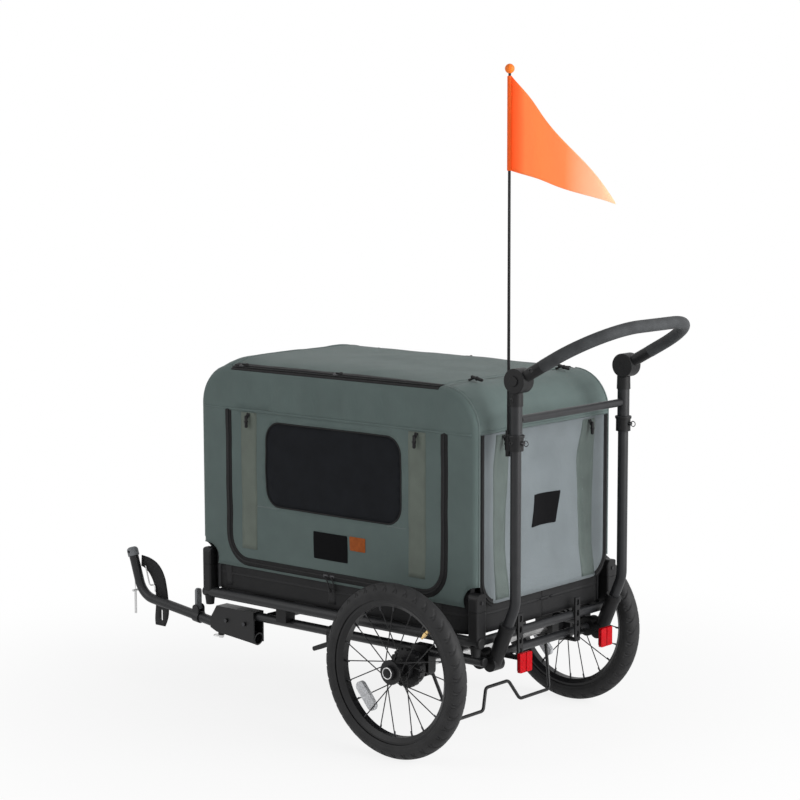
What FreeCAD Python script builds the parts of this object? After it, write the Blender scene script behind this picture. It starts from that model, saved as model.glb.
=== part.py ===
import FreeCAD, Part
import math
import os

# Dog bike trailer. Lengths in millimetres, angles in degrees.
# +X points to the rear (push handle), +Y to the right side, +Z up, ground at z = 0.
# The model is laid out from the wheel axle and then moved so that the middle of its box is at x = 0
# and the tyres stand on the ground.

V = FreeCAD.Vector
X_DIR = V(1, 0, 0)
Y_DIR = V(0, 1, 0)
Z_DIR = V(0, 0, 1)
ORIGIN = V(0, 0, 0)

# Clearances and the overrun of cuts
SEAT_GAP = 0.3
RUN_GAP = 0.3
OVERRUN = 5.0

# Wheels
TRACK = 666.8
AXLE_Z = 199.5
TYRE_SECTION_R = 23.0
TYRE_WALL = 3.5
TREAD_GROOVE_R = 1.6
TREAD_GROOVE_OFFSET_SHARE = 0.42
RIM_SEAT_R = 163.5
TYRE_HEIGHT = 36.0
TYRE_R = RIM_SEAT_R + TYRE_HEIGHT
RIM_DEPTH = 15.5
RIM_INNER_R = RIM_SEAT_R - RIM_DEPTH
RIM_HALF_WIDTH = 17.0
RIM_WALL = 3.5
RIM_BED_HALF_WIDTH = 9.0
RIM_SHOULDER = 5.5
SPOKES_PER_WHEEL = 20
SPOKE_R = 1.3
SPOKE_LACING_DEG = 48.0
SPOKE_SIDE_STEP = 1.7
RIM_SPOKE_OFFSET = 3.0
FLANGE_R = 28.0
FLANGE_PITCH_R = 24.0
FLANGE_OFFSET = 16.0
FLANGE_THICK = 4.0
HUB_R = 15.5
HUB_DRUM_R = 26.0
HUB_CAP_R = 16.5
HUB_CAP_OUT = 27.6
BRAKE_RING_R = 45.0
BRAKE_RING_IN = 46.0
BRAKE_RING_WIDTH = 12.0
BRAKE_TEETH = 18
BRAKE_NOTCH_R = 4.0
BEARING_R = 13.0
BEARING_WIDTH = 8.0
BEARING_OUTER_PLACE = 12.0
BEARING_INNER_PLACE = 38.0
HUB_BORE_R = 9.0
WHEEL_REFLECTOR_DROP = 38.0
WHEEL_REFLECTOR_RADIUS = RIM_INNER_R - WHEEL_REFLECTOR_DROP
WHEEL_REFLECTOR_LENGTH = 74.0
WHEEL_REFLECTOR_HEIGHT = 25.0
WHEEL_REFLECTOR_THICK = 10.0
WHEEL_REFLECTOR_DEG = 220.0

# Axle, brackets, parking brake
AXLE_R = 12.5
AXLE_WALL = 2.5
STUB_R = 6.0
STUB_OUT = 16.5
AXLE_BUTTON_R = 7.0
AXLE_BUTTON_TRAVEL = 4.0
AXLE_BUTTON_PROUD = 1.0
BRACKET_IN = 222.0
BRACKET_OUT = 248.0
BRACKET_HALF_LENGTH = 26.0
BRACKET_TOP_LAND = 3.0
BRACKET_FOOT_DROP = 28.0
BRACKET_CORNER_R = 8.0
BRAKE_BOSS_R = 20.0
BRAKE_HOUSING_R = 41.0
BRAKE_HOUSING_WIDTH = 9.0
BRAKE_HOUSING_GAP = 2.4
BRAKE_WIRE_R = 4.0
BRAKE_PIVOT_X = 8.0
BRAKE_PIVOT_DROP = 17.5
BRAKE_PIN_DEPTH = 16.0
BRAKE_TILT_DEG = 16.0
BRAKE_LEG_TOP_Y = 216.5
BRAKE_LEG_LOW_Y = 188.0
BRAKE_BAR_DROP = 127.0
BRAKE_HAT_BASE_Y = 70.0
BRAKE_HAT_TOP_Y = 43.0
BRAKE_HAT_DROP = 78.0
BRAKE_TOP_BEND_R = 9.0
BRAKE_BEND_R = 14.0

# Chassis tubes
RAIL_R = 11.0
RAIL_WALL = 2.0
RAIL_Y = 235.0
RAIL_Z = 229.0
RAIL_REAR_X = 172.0
RAIL_FRONT_X = -540.0
LEFT_RAIL_FRONT_X = -646.0
FRONT_CROSS_X = -495.0
REAR_CROSS_X = 150.0
CROSS_R = 10.0
PLUG_LENGTH = 7.0
PLUG_ROUND = 3.0

# Floor frame and what carries it
FLOOR_RAIL_R = 12.5
FLOOR_RAIL_Y = 255.0
FLOOR_RAIL_Z = 275.0
FLOOR_FRONT_X = -675.0
FLOOR_REAR_X = 178.0
FLOOR_CROSS_FRONT_X = -640.0
FLOOR_CROSS_REAR_X = 167.0
MOUNT_FRONT_X = -420.0
MOUNT_REAR_X = 95.0
MOUNT_HALF_LENGTH = 16.0
MOUNT_EDGE = 6.0
FOOT_TOP_R = 13.0
FOOT_LOW_R = 10.0
FOOT_DROP = 31.0
FOOT_RISE = 6.0
CORNER_LENGTH = 27.0
CORNER_WIDTH = 34.0
CORNER_FRONT_X = -665.5
CORNER_REAR_X = 167.0
CORNER_Y = 250.0
CORNER_TOP_Z = 385.0
CORNER_ROUND = 5.0
CORNER_TOP_ROUND = 12.0
CORNER_SPLIT_Z = 344.0
CORNER_SPLIT = 1.5
CORNER_PIN_R = 4.0
CORNER_PIN_Z = 365.0
CORNER_PIN_PROUD = 2.0
BOARD_THICK = 8.0
BOARD_MARGIN = 2.0

# Cabin cover, tub and hoops
CABIN_FRONT_X = -687.0
CABIN_REAR_X = 168.0
CABIN_HALF_WIDTH = 256.0
CABIN_TOP_Z = 836.0
CABIN_CROWN = 17.0
CABIN_END_CROWN = 3.0
CABIN_CORNER_R = 95.0
CLOTH = 3.0
SIDE_BOTTOM_Z = 375.0
END_BOTTOM_Z = 352.0
POST_CUT_R = 34.0
POST_CUT_Z = 364.0
POST_CUT_SHIFT = 8.0
SEAM_Z = 735.0
TUB_FRONT_X = -659.0
TUB_REAR_X = 157.0
TUB_HALF_WIDTH = 252.5
TUB_TOP_Z = 386.0
TUB_WALL = 2.5
TUB_CORNER_R = 70.0
HOOP_R = 8.0
HOOP_WALL = 1.5
HOOP_Y = 239.0
HOOP_TOP_Z = 818.0
HOOP_CORNER_R = 85.0

# Doors
SIDE_DOOR_FRONT_X = -592.0
SIDE_DOOR_REAR_X = 79.0
SIDE_DOOR_BOTTOM_Z = 390.0
SIDE_DOOR_CORNER_R = 60.0
DOOR_TOP_R = 4.0
WINDOW_FRONT_X = -468.0
WINDOW_REAR_X = -47.0
WINDOW_LOW_Z = 511.0
WINDOW_TOP_Z = 712.0
WINDOW_CORNER_R = 42.0
MESH_THICK = 1.0
REAR_DOOR_SIDE_MARGIN = 18.0
REAR_DOOR_HALF_WIDTH = CABIN_HALF_WIDTH - REAR_DOOR_SIDE_MARGIN
REAR_DOOR_CORNER_R = 4.0
FLAP_FRONT_MARGIN = 9.0
FLAP_REAR_MARGIN = 12.0
FLAP_SIDE_MARGIN = 16.0
FLAP_HALF_WIDTH = CABIN_HALF_WIDTH - FLAP_SIDE_MARGIN

# Hold-down straps and rear reflectors
HOLD_DOWN_Y = 110.0
HOLD_DOWN_WIDTH = 19.0
HOLD_DOWN_THICK = 4.0
HOLD_DOWN_TOP_Z = 318.0
HOLD_DOWN_SLOTS = 4
HOLD_DOWN_SLOT_WIDTH = 8.0
HOLD_DOWN_SLOT_HEIGHT = 15.0
HOLD_DOWN_HOOK = 5.0
REFLECTOR_X = 228.0
REFLECTOR_Y = 156.0
REFLECTOR_WIDTH = 44.0
REFLECTOR_DROP = 6.0
REFLECTOR_HEIGHT = 44.0
REFLECTOR_THICK = 8.0
REFLECTOR_ROUND = 3.0
REFLECTOR_GROOVE = 1.5
REFLECTOR_ARM_WIDTH = 14.0
REFLECTOR_ARM_THICK = 6.0
REFLECTOR_CLAMP_R = 14.0
REFLECTOR_PLATE = 4.0
REFLECTOR_PLATE_MARGIN = 4.0

# Handle posts and sockets
POST_X = 238.0
POST_Y = 205.0
POST_R = 12.0
POST_WALL = 2.0
POST_BEND_Z = 359.0
POST_BEND_R = 80.0
POST_FOOT_Z = 240.0
POST_LEAN_DEG = 23.2
POST_TOP_GAP = 11.0
SOCKET_R = 17.0
SOCKET_TOP_Z = 312.0
SOCKET_LOW_Z = 222.0
SOCKET_BARREL_R = 22.0
SOCKET_HALF_WIDTH = 18.0
SOCKET_COLLAR_R = 1.5
SOCKET_COLLAR_LENGTH = 10.0

# Upper handle tubes, collars and height pins
COLLAR_TOP_Z = 737.0
COLLAR_LENGTH = 33.0
COLLAR_LOW_Z = COLLAR_TOP_Z - COLLAR_LENGTH
COLLAR_R = 17.0
COLLAR_LIP_R = 19.0
COLLAR_LIP = 4.0
UPPER_R = 14.0
UPPER_SEAT = 28.0
UPPER_REACH = 89.0
UPPER_LOW_Z = COLLAR_TOP_Z - UPPER_SEAT
UPPER_TOP_Z = COLLAR_TOP_Z + UPPER_REACH
POST_TOP_Z = UPPER_TOP_Z - POST_TOP_GAP
HANDLE_TRAVEL = 55.0
HANDLE_CROSS_R = 9.0
HANDLE_CROSS_RISE = 34.0
HANDLE_CROSS_Z = COLLAR_TOP_Z + HANDLE_CROSS_RISE
HEIGHT_PIN_R = 3.0
HEIGHT_PIN_DROP = 15.0
HEIGHT_PIN_Z = COLLAR_TOP_Z - HEIGHT_PIN_DROP
HEIGHT_PIN_HEAD_R = 4.5
HEIGHT_PIN_HEAD = 5.0
HEIGHT_PIN_REACH = 4.0
HEIGHT_RING_R = 6.0
HEIGHT_RING_WIRE_R = 1.0

# Tilt knuckles and handlebar
KNUCKLE_X = 245.0
KNUCKLE_RISE = 121.0
KNUCKLE_Z = COLLAR_TOP_Z + KNUCKLE_RISE
KNUCKLE_R = 27.5
KNUCKLE_IN = 19.0
KNUCKLE_SPLIT = 1.0
KNUCKLE_OUT = 19.0
KNUCKLE_PIVOT_R = 6.0
KNUCKLE_ROUND = 2.0
NECK_LOW_R = 16.0
NECK_TOP_R = 14.6
NECK_LENGTH = 56.0
NECK_LOW_Z = KNUCKLE_Z - NECK_LENGTH
ARM_DEG = 29.0
ARM_SOCKET_R = 13.6
ARM_SOCKET_START = 30.0
ARM_SOCKET_END = 74.0
BAR_R = 11.0
BAR_WALL = 2.0
BAR_REACH = 246.0
BAR_CORNER_R = 140.0
GRIP_R = 14.0
GRIP_START = ARM_SOCKET_END + SEAT_GAP
TILT_BUTTON_R = 11.0
TILT_BUTTON_TRAVEL = 3.0
TILT_BUTTON_PROUD = 3.0
TILT_BUTTON_DEPTH = 3.5
TILT_BUTTON_ROUND = 1.2

# Flag
FLAG_X = 212.0
FLAG_Y = -198.0
POLE_R = 3.5
POLE_FOOT_DROP = 12.0
POLE_LOW_Z = COLLAR_LOW_Z - POLE_FOOT_DROP
POLE_TOP_Z = 1526.0
BALL_R = 10.5
PENNANT_TOP_DROP = 5.0
PENNANT_TOP_Z = POLE_TOP_Z - PENNANT_TOP_DROP
PENNANT_HEIGHT = 212.0
PENNANT_LOW_Z = PENNANT_TOP_Z - PENNANT_HEIGHT
PENNANT_LENGTH = 268.0
PENNANT_TIP_DROP = 67.0
PENNANT_TIP_Z = PENNANT_LOW_Z - PENNANT_TIP_DROP
PENNANT_TIP_HEIGHT = 10.0
PENNANT_THICK = 1.2
PENNANT_WAVE = 9.0
PENNANT_SLEEVE_R = 5.0
PENNANT_STATION_SHARES = (0.0, 0.3, 0.62, 1.0)
PENNANT_WAVE_SHARES = (0.0, 1.0, -0.7, 0.4)
HOLDER_WALL = 3.0
HOLDER_RISE = 9.0
HOLDER_TOP_Z = COLLAR_TOP_Z + HOLDER_RISE

# Tow arm and its bracket
ARM_R = 12.0
ARM_WALL = 2.0
ARM_Y = -235.0
ARM_REAR_X = -530.0
ARM_ENTRY_X = -681.0
ARM_ENTRY_Z = 194.0
ARM_RISE_DEG = 7.04
ARM_BEND_X = -930.0
ARM_BEND_R = 60.0
ARM_TIP_LEAN_DEG = 18.0
ARM_TIP_RISE = 98.0
CAP_R = 14.5
CAP_LENGTH = 23.0
CAP_ROUND = 9.0
HITCH_BORE_R = 4.0
SLEEVE_R = 16.0
BRACKET_FRONT_X = -668.0
BRACKET_REAR_X = -520.0
BRACKET_PLATE = 4.0
BRACKET_TOP_Z = 241.5
BRACKET_LOW_Z = 165.0
BRACKET_NOSE = 22.0
SADDLE_LOW_Z = 221.0
BOLT_R = 3.0
BOLT_HEAD_R = 5.5
BOLT_HEAD = 4.5
BOLT_Z = 209.5
BOLT_PLACES_X = (-612.0, -550.0)
LOCK_X = -648.0
LOCK_BOSS_R = 8.0
LOCK_BOSS_DROP = 9.0
LOCK_PIN_R = 3.5
LOCK_HEAD_R = 6.5
LOCK_HEAD = 6.0
LOCK_RING_R = 9.0
LOCK_RING_WIRE_R = 1.2
TOW_LEVER_X = -728.0
TOW_LEVER_WIDTH = 17.0
TOW_LEVER_THICK = 7.0
TOW_LEVER_HEIGHT = 50.0
TOW_CLAMP_R = 15.5
TOW_CLAMP_HALF = 10.0
TOW_EAR = 3.0
TOW_PIVOT_RISE = 21.0
TOW_PIVOT_R = 2.5
STRAP_THICK = 3.0
STRAP_REACH = 96.0
STRAP_DROP = 174.0
STRAP_TOP_X = -948.0
STRAP_TOP_Z = 324.0
STRAP_OUTER_MID_SHARES = (0.86, 0.24)
STRAP_OUTER_LOW_SHARES = (1.0, 0.84)
STRAP_END_REAR_SHARES = (0.86, 1.0)
STRAP_END_FRONT_SHARES = (0.5, 1.0)
STRAP_INNER_LOW_SHARES = (0.5, 0.9)
STRAP_INNER_MID_SHARES = (0.5, 0.44)
STRAP_INNER_TOP_SHARES = (-0.02, 0.16)
HOOK_WIRE_R = 1.8
HOOK_BEND_R = 6.0
HOOK_POINT_SHARES = ((0.19, 0.14), (0.34, 0.42), (0.55, 0.4), (0.55, 0.5))
PIN_R = 3.2
PIN_LENGTH = 60.0
PIN_AHEAD = 28.0
PIN_TOP_Z = 234.0
PIN_HEAD_R = 3.2
PIN_HEAD_LENGTH = 17.0
LANYARD_R = 1.0

# Frame lever under the left rail
FRAME_LEVER_X = -268.0
FRAME_LEVER_DROP = 22.5
FRAME_LEVER_LENGTH = 68.0
FRAME_LEVER_WIDTH = 24.0
FRAME_LEVER_THICK = 11.0
FRAME_LEVER_WALL = 2.5
FRAME_LEVER_DEG = 22.0
FRAME_PIVOT_R = 4.0
FRAME_CLAMP_R = 15.0
FRAME_CLAMP_HALF = 15.0
FRAME_EAR = 4.0

WHEEL_Y = TRACK / 2


# Basic shapes

def rod(start, end, radius):
    return Part.makeCylinder(radius, (end - start).Length, start, end - start)


def tube(start, end, radius, wall):
    return rod(start, end, radius).cut(rod(start, end, radius - wall))


def box(low, high):
    size = high - low
    return Part.makeBox(size.x, size.y, size.z, low)


def extruded(points, direction):
    return Part.Face(Part.makePolygon(points + points[:1])).extrude(direction)


def revolved(profile, centre, axis):
    """Turn a closed list of (place along the axis, radius) points about the axis."""
    across = Z_DIR if abs(axis.z) < abs(axis.y) + abs(axis.x) else X_DIR
    points = [centre + axis * along + across * radius for along, radius in profile]
    face = Part.Face(Part.makePolygon(points + points[:1]))
    return face.revolve(centre, axis, 360)


def bent_path(points, radii):
    """Straight runs through the points, joined by tangent arcs of the given radii."""
    edges = []
    start = points[0]
    for before, corner, after, radius in zip(points, points[1:], points[2:], radii):
        incoming = (corner - before).normalize()
        outgoing = (after - corner).normalize()
        turn = incoming.getAngle(outgoing)
        cut = radius * math.tan(turn / 2)
        middle = corner + (outgoing - incoming).normalize() * (radius / math.cos(turn / 2) - radius)
        arc_start = corner - incoming * cut
        arc_end = corner + outgoing * cut
        if (arc_start - start).Length > SEAT_GAP:
            edges.append(Part.LineSegment(start, arc_start).toShape())
        edges.append(Part.Arc(arc_start, middle, arc_end).toShape())
        start = arc_end
    edges.append(Part.LineSegment(start, points[-1]).toShape())
    return Part.Wire(edges)


def swept(points, radii, radius, inner_radius=0):
    """A round bar or tube along a bent path."""
    path = bent_path(points, radii)
    heading = points[1] - points[0]
    wires = [Part.Wire(Part.makeCircle(radius, points[0], heading))]
    if inner_radius:
        wires.append(Part.Wire(Part.makeCircle(inner_radius, points[0], heading)))
    return path.makePipe(Part.makeFace(wires, "Part::FaceMakerBullseye"))


def rounded_outline(low, high, low_radius, top_radius):
    """Corners of a rectangle in order, each with its radius and the two directions into the rectangle."""
    left, bottom = low
    right, top = high
    corners = [
        (left, bottom, low_radius, 1, 1),
        (left, top, top_radius, 1, -1),
        (right, top, top_radius, -1, -1),
        (right, bottom, low_radius, -1, 1),
    ]
    return corners


def rounded_plate(low, high, low_radius, top_radius, place, direction):
    """Plate of a rounded rectangle: place maps (across, up) to a point, direction is its thickness."""
    edges = []
    joints = []
    share = 1 - math.sqrt(0.5)
    corners = rounded_outline(low, high, low_radius, top_radius)
    for index, (a, u, radius, sign_a, sign_u) in enumerate(corners):
        along_up = place(a, u + sign_u * radius)
        along_across = place(a + sign_a * radius, u)
        middle = place(a + sign_a * radius * share, u + sign_u * radius * share)
        first, last = (along_across, along_up) if index % 2 == 0 else (along_up, along_across)
        edges.append(Part.Arc(first, middle, last).toShape())
        joints.append((first, last))
    for (_, end), (start, _) in zip(joints, joints[1:] + joints[:1]):
        edges.append(Part.LineSegment(end, start).toShape())
    wire = Part.Wire(Part.__sortEdges__(edges))
    return Part.Face(wire).extrude(direction)


def mirrored(shape):
    return shape.mirror(ORIGIN, Y_DIR)


def pair(shape):
    return [shape, mirrored(shape)]


def edges_round(shape, axis, centre, radius):
    """The circular edges of the shape that lie about an axis with the given radius."""
    found = []
    for edge in shape.Edges:
        curve = edge.Curve
        if isinstance(curve, Part.Circle) and abs(curve.Radius - radius) < SEAT_GAP:
            offset = curve.Center - centre
            if (offset - axis * offset.dot(axis)).Length < SEAT_GAP:
                found.append(edge)
    return found


# Wheels. They are made on the left side, where outward is -Y, and mirrored.

WHEEL_CENTRE = V(0, -WHEEL_Y, AXLE_Z)
OUTWARD = V(0, -1, 0)


def wheel_place(outward, radius=0, degrees=0):
    angle = math.radians(degrees)
    return WHEEL_CENTRE + OUTWARD * outward + V(math.cos(angle), 0, math.sin(angle)) * radius


def tyre():
    major = TYRE_R - TYRE_SECTION_R
    body = Part.makeTorus(major, TYRE_SECTION_R, WHEEL_CENTRE, Y_DIR)
    body = body.cut(Part.makeTorus(major, TYRE_SECTION_R - TYRE_WALL, WHEEL_CENTRE, Y_DIR))
    half = TYRE_SECTION_R + OVERRUN
    body = body.cut(rod(wheel_place(-half), wheel_place(half), RIM_SEAT_R + SEAT_GAP))
    groove_offset = TYRE_SECTION_R * TREAD_GROOVE_OFFSET_SHARE
    groove_major = major + math.sqrt(TYRE_SECTION_R ** 2 - groove_offset ** 2)
    for offset in (-groove_offset, groove_offset):
        body = body.cut(Part.makeTorus(groove_major, TREAD_GROOVE_R, wheel_place(offset), Y_DIR))
    return body


def rim():
    bed_r = RIM_INNER_R + RIM_WALL + SPOKE_R
    lip_low = RIM_SEAT_R - RIM_SHOULDER
    half = [
        (RIM_HALF_WIDTH, RIM_SEAT_R),
        (RIM_HALF_WIDTH, lip_low),
        (RIM_BED_HALF_WIDTH, RIM_INNER_R),
    ]
    inner = [
        (RIM_BED_HALF_WIDTH, bed_r),
        (RIM_HALF_WIDTH - RIM_WALL, lip_low + RIM_WALL),
        (RIM_HALF_WIDTH - RIM_WALL, RIM_SEAT_R),
    ]
    outer_side = half + [(-w, r) for w, r in reversed(half)]
    inner_side = [(-w, r) for w, r in reversed(inner)] + inner
    return revolved(outer_side + inner_side, WHEEL_CENTRE, OUTWARD)


def spokes(radius=SPOKE_R):
    result = []
    step = 360 / SPOKES_PER_WHEEL
    for index in range(SPOKES_PER_WHEEL):
        side = 1 if index % 2 else -1
        lead = 1 if index % 4 < 2 else -1
        shift = side * lead * SPOKE_SIDE_STEP
        rim_end = wheel_place(side * RIM_SPOKE_OFFSET + shift, RIM_INNER_R - SEAT_GAP, index * step)
        hub_angle = index * step + lead * SPOKE_LACING_DEG
        hub_side = side * (FLANGE_OFFSET - FLANGE_THICK / 2 - SPOKE_R - SEAT_GAP - SPOKE_SIDE_STEP)
        hub_end = wheel_place(hub_side + shift, FLANGE_PITCH_R, hub_angle)
        result.append(rod(hub_end, rim_end, radius))
    return result


def hub():
    ring_out = -BRAKE_RING_IN + BRAKE_RING_WIDTH
    flange_in = -FLANGE_OFFSET - FLANGE_THICK / 2
    flange_out = FLANGE_OFFSET + FLANGE_THICK / 2
    bearing_half = BEARING_WIDTH / 2
    outer_seat = BEARING_OUTER_PLACE - bearing_half
    outer_end = BEARING_OUTER_PLACE + bearing_half
    inner_seat = -BEARING_INNER_PLACE + bearing_half
    button_bore = AXLE_BUTTON_R + RUN_GAP
    race_bore = BEARING_R + RUN_GAP
    profile = [
        (-BRAKE_RING_IN, BRAKE_RING_R),
        (ring_out, BRAKE_RING_R),
        (ring_out, HUB_DRUM_R),
        (flange_in, HUB_DRUM_R),
        (flange_in, FLANGE_R),
        (flange_in + FLANGE_THICK, FLANGE_R),
        (flange_in + FLANGE_THICK, HUB_R),
        (flange_out - FLANGE_THICK, HUB_R),
        (flange_out - FLANGE_THICK, FLANGE_R),
        (flange_out, FLANGE_R),
        (flange_out, HUB_CAP_R),
        (HUB_CAP_OUT, HUB_CAP_R),
        (HUB_CAP_OUT, button_bore),
        (outer_end + RUN_GAP, button_bore),
        (outer_end + RUN_GAP, race_bore),
        (outer_seat - RUN_GAP, race_bore),
        (outer_seat - RUN_GAP, HUB_BORE_R),
        (inner_seat + RUN_GAP, HUB_BORE_R),
        (inner_seat + RUN_GAP, race_bore),
        (-BRAKE_RING_IN, race_bore),
    ]
    body = revolved(profile, WHEEL_CENTRE, OUTWARD)
    for index in range(BRAKE_TEETH):
        angle = index * 360 / BRAKE_TEETH
        start = wheel_place(-BRAKE_RING_IN - OVERRUN, BRAKE_RING_R, angle)
        body = body.cut(rod(start, wheel_place(ring_out, BRAKE_RING_R, angle), BRAKE_NOTCH_R))
    return body


def bearings():
    result = []
    half = BEARING_WIDTH / 2
    for place in (BEARING_OUTER_PLACE, -BEARING_INNER_PLACE):
        start = wheel_place(place - half)
        result.append(tube(start, wheel_place(place + half), BEARING_R, BEARING_R - STUB_R))
    return result


def wheel_reflector():
    half = WHEEL_REFLECTOR_THICK / 2
    radius = WHEEL_REFLECTOR_HEIGHT / 2 - SEAT_GAP
    low = (-WHEEL_REFLECTOR_LENGTH / 2, -WHEEL_REFLECTOR_HEIGHT / 2)
    high = (WHEEL_REFLECTOR_LENGTH / 2, WHEEL_REFLECTOR_HEIGHT / 2)
    start = wheel_place(-half, WHEEL_REFLECTOR_RADIUS, WHEEL_REFLECTOR_DEG)
    plate = rounded_plate(low, high, radius, radius, lambda a, u: start + V(a, 0, u), OUTWARD * (2 * half))
    plate.rotate(start, Y_DIR, 90 - WHEEL_REFLECTOR_DEG)
    return cut_all(plate, spokes(SPOKE_R + SEAT_GAP))


def axle_button():
    start = HUB_CAP_OUT + AXLE_BUTTON_PROUD
    inner_end = STUB_OUT + AXLE_BUTTON_TRAVEL + RUN_GAP
    return rod(wheel_place(inner_end), wheel_place(start), AXLE_BUTTON_R)


# Axle, axle brackets and parking brake

def axle():
    beam_end = BRACKET_IN - SEAT_GAP
    parts = [tube(V(0, -beam_end, AXLE_Z), V(0, beam_end, AXLE_Z), AXLE_R, AXLE_WALL)]
    stub = rod(V(0, -BRACKET_IN, AXLE_Z), wheel_place(STUB_OUT), STUB_R)
    return parts + pair(stub)


def rail_rod(radius):
    return rod(V(FLOOR_FRONT_X, -RAIL_Y, RAIL_Z), V(FLOOR_REAR_X, -RAIL_Y, RAIL_Z), radius)


def axle_bracket():
    low = V(-BRACKET_HALF_LENGTH, -BRACKET_OUT, AXLE_Z - BRACKET_FOOT_DROP)
    high = V(BRACKET_HALF_LENGTH, -BRACKET_IN, RAIL_Z + RAIL_R + BRACKET_TOP_LAND)
    depth = V(0, BRACKET_OUT - BRACKET_IN, 0)
    body = rounded_plate(
        (low.x, low.z), (high.x, high.z), BRACKET_CORNER_R * 2, BRACKET_CORNER_R,
        lambda a, u: V(a, -BRACKET_OUT, u), depth)
    housing_out = WHEEL_Y - BRAKE_RING_IN - BRAKE_HOUSING_GAP
    housing_in = housing_out - BRAKE_HOUSING_WIDTH
    hub_axis = V(0, 0, AXLE_Z)
    profile = [
        (BRACKET_OUT, 0),
        (BRACKET_OUT, BRAKE_BOSS_R),
        (housing_in, BRAKE_BOSS_R),
        (housing_in, BRAKE_HOUSING_R),
        (housing_out, BRAKE_HOUSING_R),
        (housing_out, 0),
    ]
    body = body.fuse(revolved(profile, hub_axis, OUTWARD))
    body = body.cut(rail_rod(RAIL_R))
    body = body.cut(rod(V(0, -BRACKET_IN + OVERRUN, AXLE_Z), wheel_place(0), STUB_R))
    pivot = V(BRAKE_PIVOT_X, -BRACKET_IN + OVERRUN, AXLE_Z - BRAKE_PIVOT_DROP)
    depth = OVERRUN + BRAKE_PIN_DEPTH + SEAT_GAP
    return body.cut(rod(pivot, pivot + OUTWARD * depth, BRAKE_WIRE_R + RUN_GAP))


def brake_bar():
    tilt = math.radians(BRAKE_TILT_DEG)
    down = V(math.sin(tilt), 0, -math.cos(tilt))
    pivot = V(BRAKE_PIVOT_X, 0, AXLE_Z - BRAKE_PIVOT_DROP)
    half = [
        (BRACKET_IN + BRAKE_PIN_DEPTH, 0),
        (BRAKE_LEG_TOP_Y, 0),
        (BRAKE_LEG_LOW_Y, BRAKE_BAR_DROP),
        (BRAKE_HAT_BASE_Y, BRAKE_BAR_DROP),
        (BRAKE_HAT_TOP_Y, BRAKE_HAT_DROP),
    ]
    whole = [(-y, drop) for y, drop in half] + list(reversed(half))
    points = [pivot + Y_DIR * y + down * drop for y, drop in whole]
    radii = [BRAKE_TOP_BEND_R] + [BRAKE_BEND_R] * (len(points) - 4) + [BRAKE_TOP_BEND_R]
    return swept(points, radii, BRAKE_WIRE_R)


# Chassis and floor frame

def chassis_tubes():
    rails = []
    for side, front in ((-1, LEFT_RAIL_FRONT_X), (1, RAIL_FRONT_X)):
        start = V(front, side * RAIL_Y, RAIL_Z)
        rails.append(tube(start, V(RAIL_REAR_X, side * RAIL_Y, RAIL_Z), RAIL_R, RAIL_WALL))
    half = RAIL_Y - RAIL_R - SEAT_GAP
    front = tube(V(FRONT_CROSS_X, -half, RAIL_Z), V(FRONT_CROSS_X, half, RAIL_Z), RAIL_R, RAIL_WALL)
    rear = tube(V(REAR_CROSS_X, -half, RAIL_Z), V(REAR_CROSS_X, half, RAIL_Z), CROSS_R, RAIL_WALL)
    return rails + [front, rear]


def floor_frame():
    rails = pair(tube(
        V(FLOOR_FRONT_X, -FLOOR_RAIL_Y, FLOOR_RAIL_Z), V(FLOOR_REAR_X, -FLOOR_RAIL_Y, FLOOR_RAIL_Z),
        FLOOR_RAIL_R, RAIL_WALL))
    half = FLOOR_RAIL_Y - FLOOR_RAIL_R - SEAT_GAP
    cross = []
    for x in (FLOOR_CROSS_FRONT_X, FLOOR_CROSS_REAR_X):
        cross.append(tube(V(x, -half, FLOOR_RAIL_Z), V(x, half, FLOOR_RAIL_Z), CROSS_R, RAIL_WALL))
    return rails + cross


def plug(end, direction, radius):
    cap = rod(end, end + direction * PLUG_LENGTH, radius)
    tip = end + direction * PLUG_LENGTH
    edges = edges_round(cap, direction, end, radius)
    outer = [edge for edge in edges if (edge.Curve.Center - tip).Length < SEAT_GAP]
    return cap.makeFillet(PLUG_ROUND, outer)


def rail_plugs():
    forward = X_DIR * -1
    plugs = []
    for side, front in ((-1, LEFT_RAIL_FRONT_X), (1, RAIL_FRONT_X)):
        plugs.append(plug(V(front, side * RAIL_Y, RAIL_Z), forward, RAIL_R))
        plugs.append(plug(V(RAIL_REAR_X, side * RAIL_Y, RAIL_Z), X_DIR, RAIL_R))
        plugs.append(plug(V(FLOOR_FRONT_X, side * FLOOR_RAIL_Y, FLOOR_RAIL_Z), forward, FLOOR_RAIL_R))
        plugs.append(plug(V(FLOOR_REAR_X, side * FLOOR_RAIL_Y, FLOOR_RAIL_Z), X_DIR, FLOOR_RAIL_R))
    return plugs


def floor_rail_rod():
    start = V(FLOOR_FRONT_X - OVERRUN, -FLOOR_RAIL_Y, FLOOR_RAIL_Z)
    return rod(start, V(FLOOR_REAR_X + OVERRUN, -FLOOR_RAIL_Y, FLOOR_RAIL_Z), FLOOR_RAIL_R)


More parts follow.
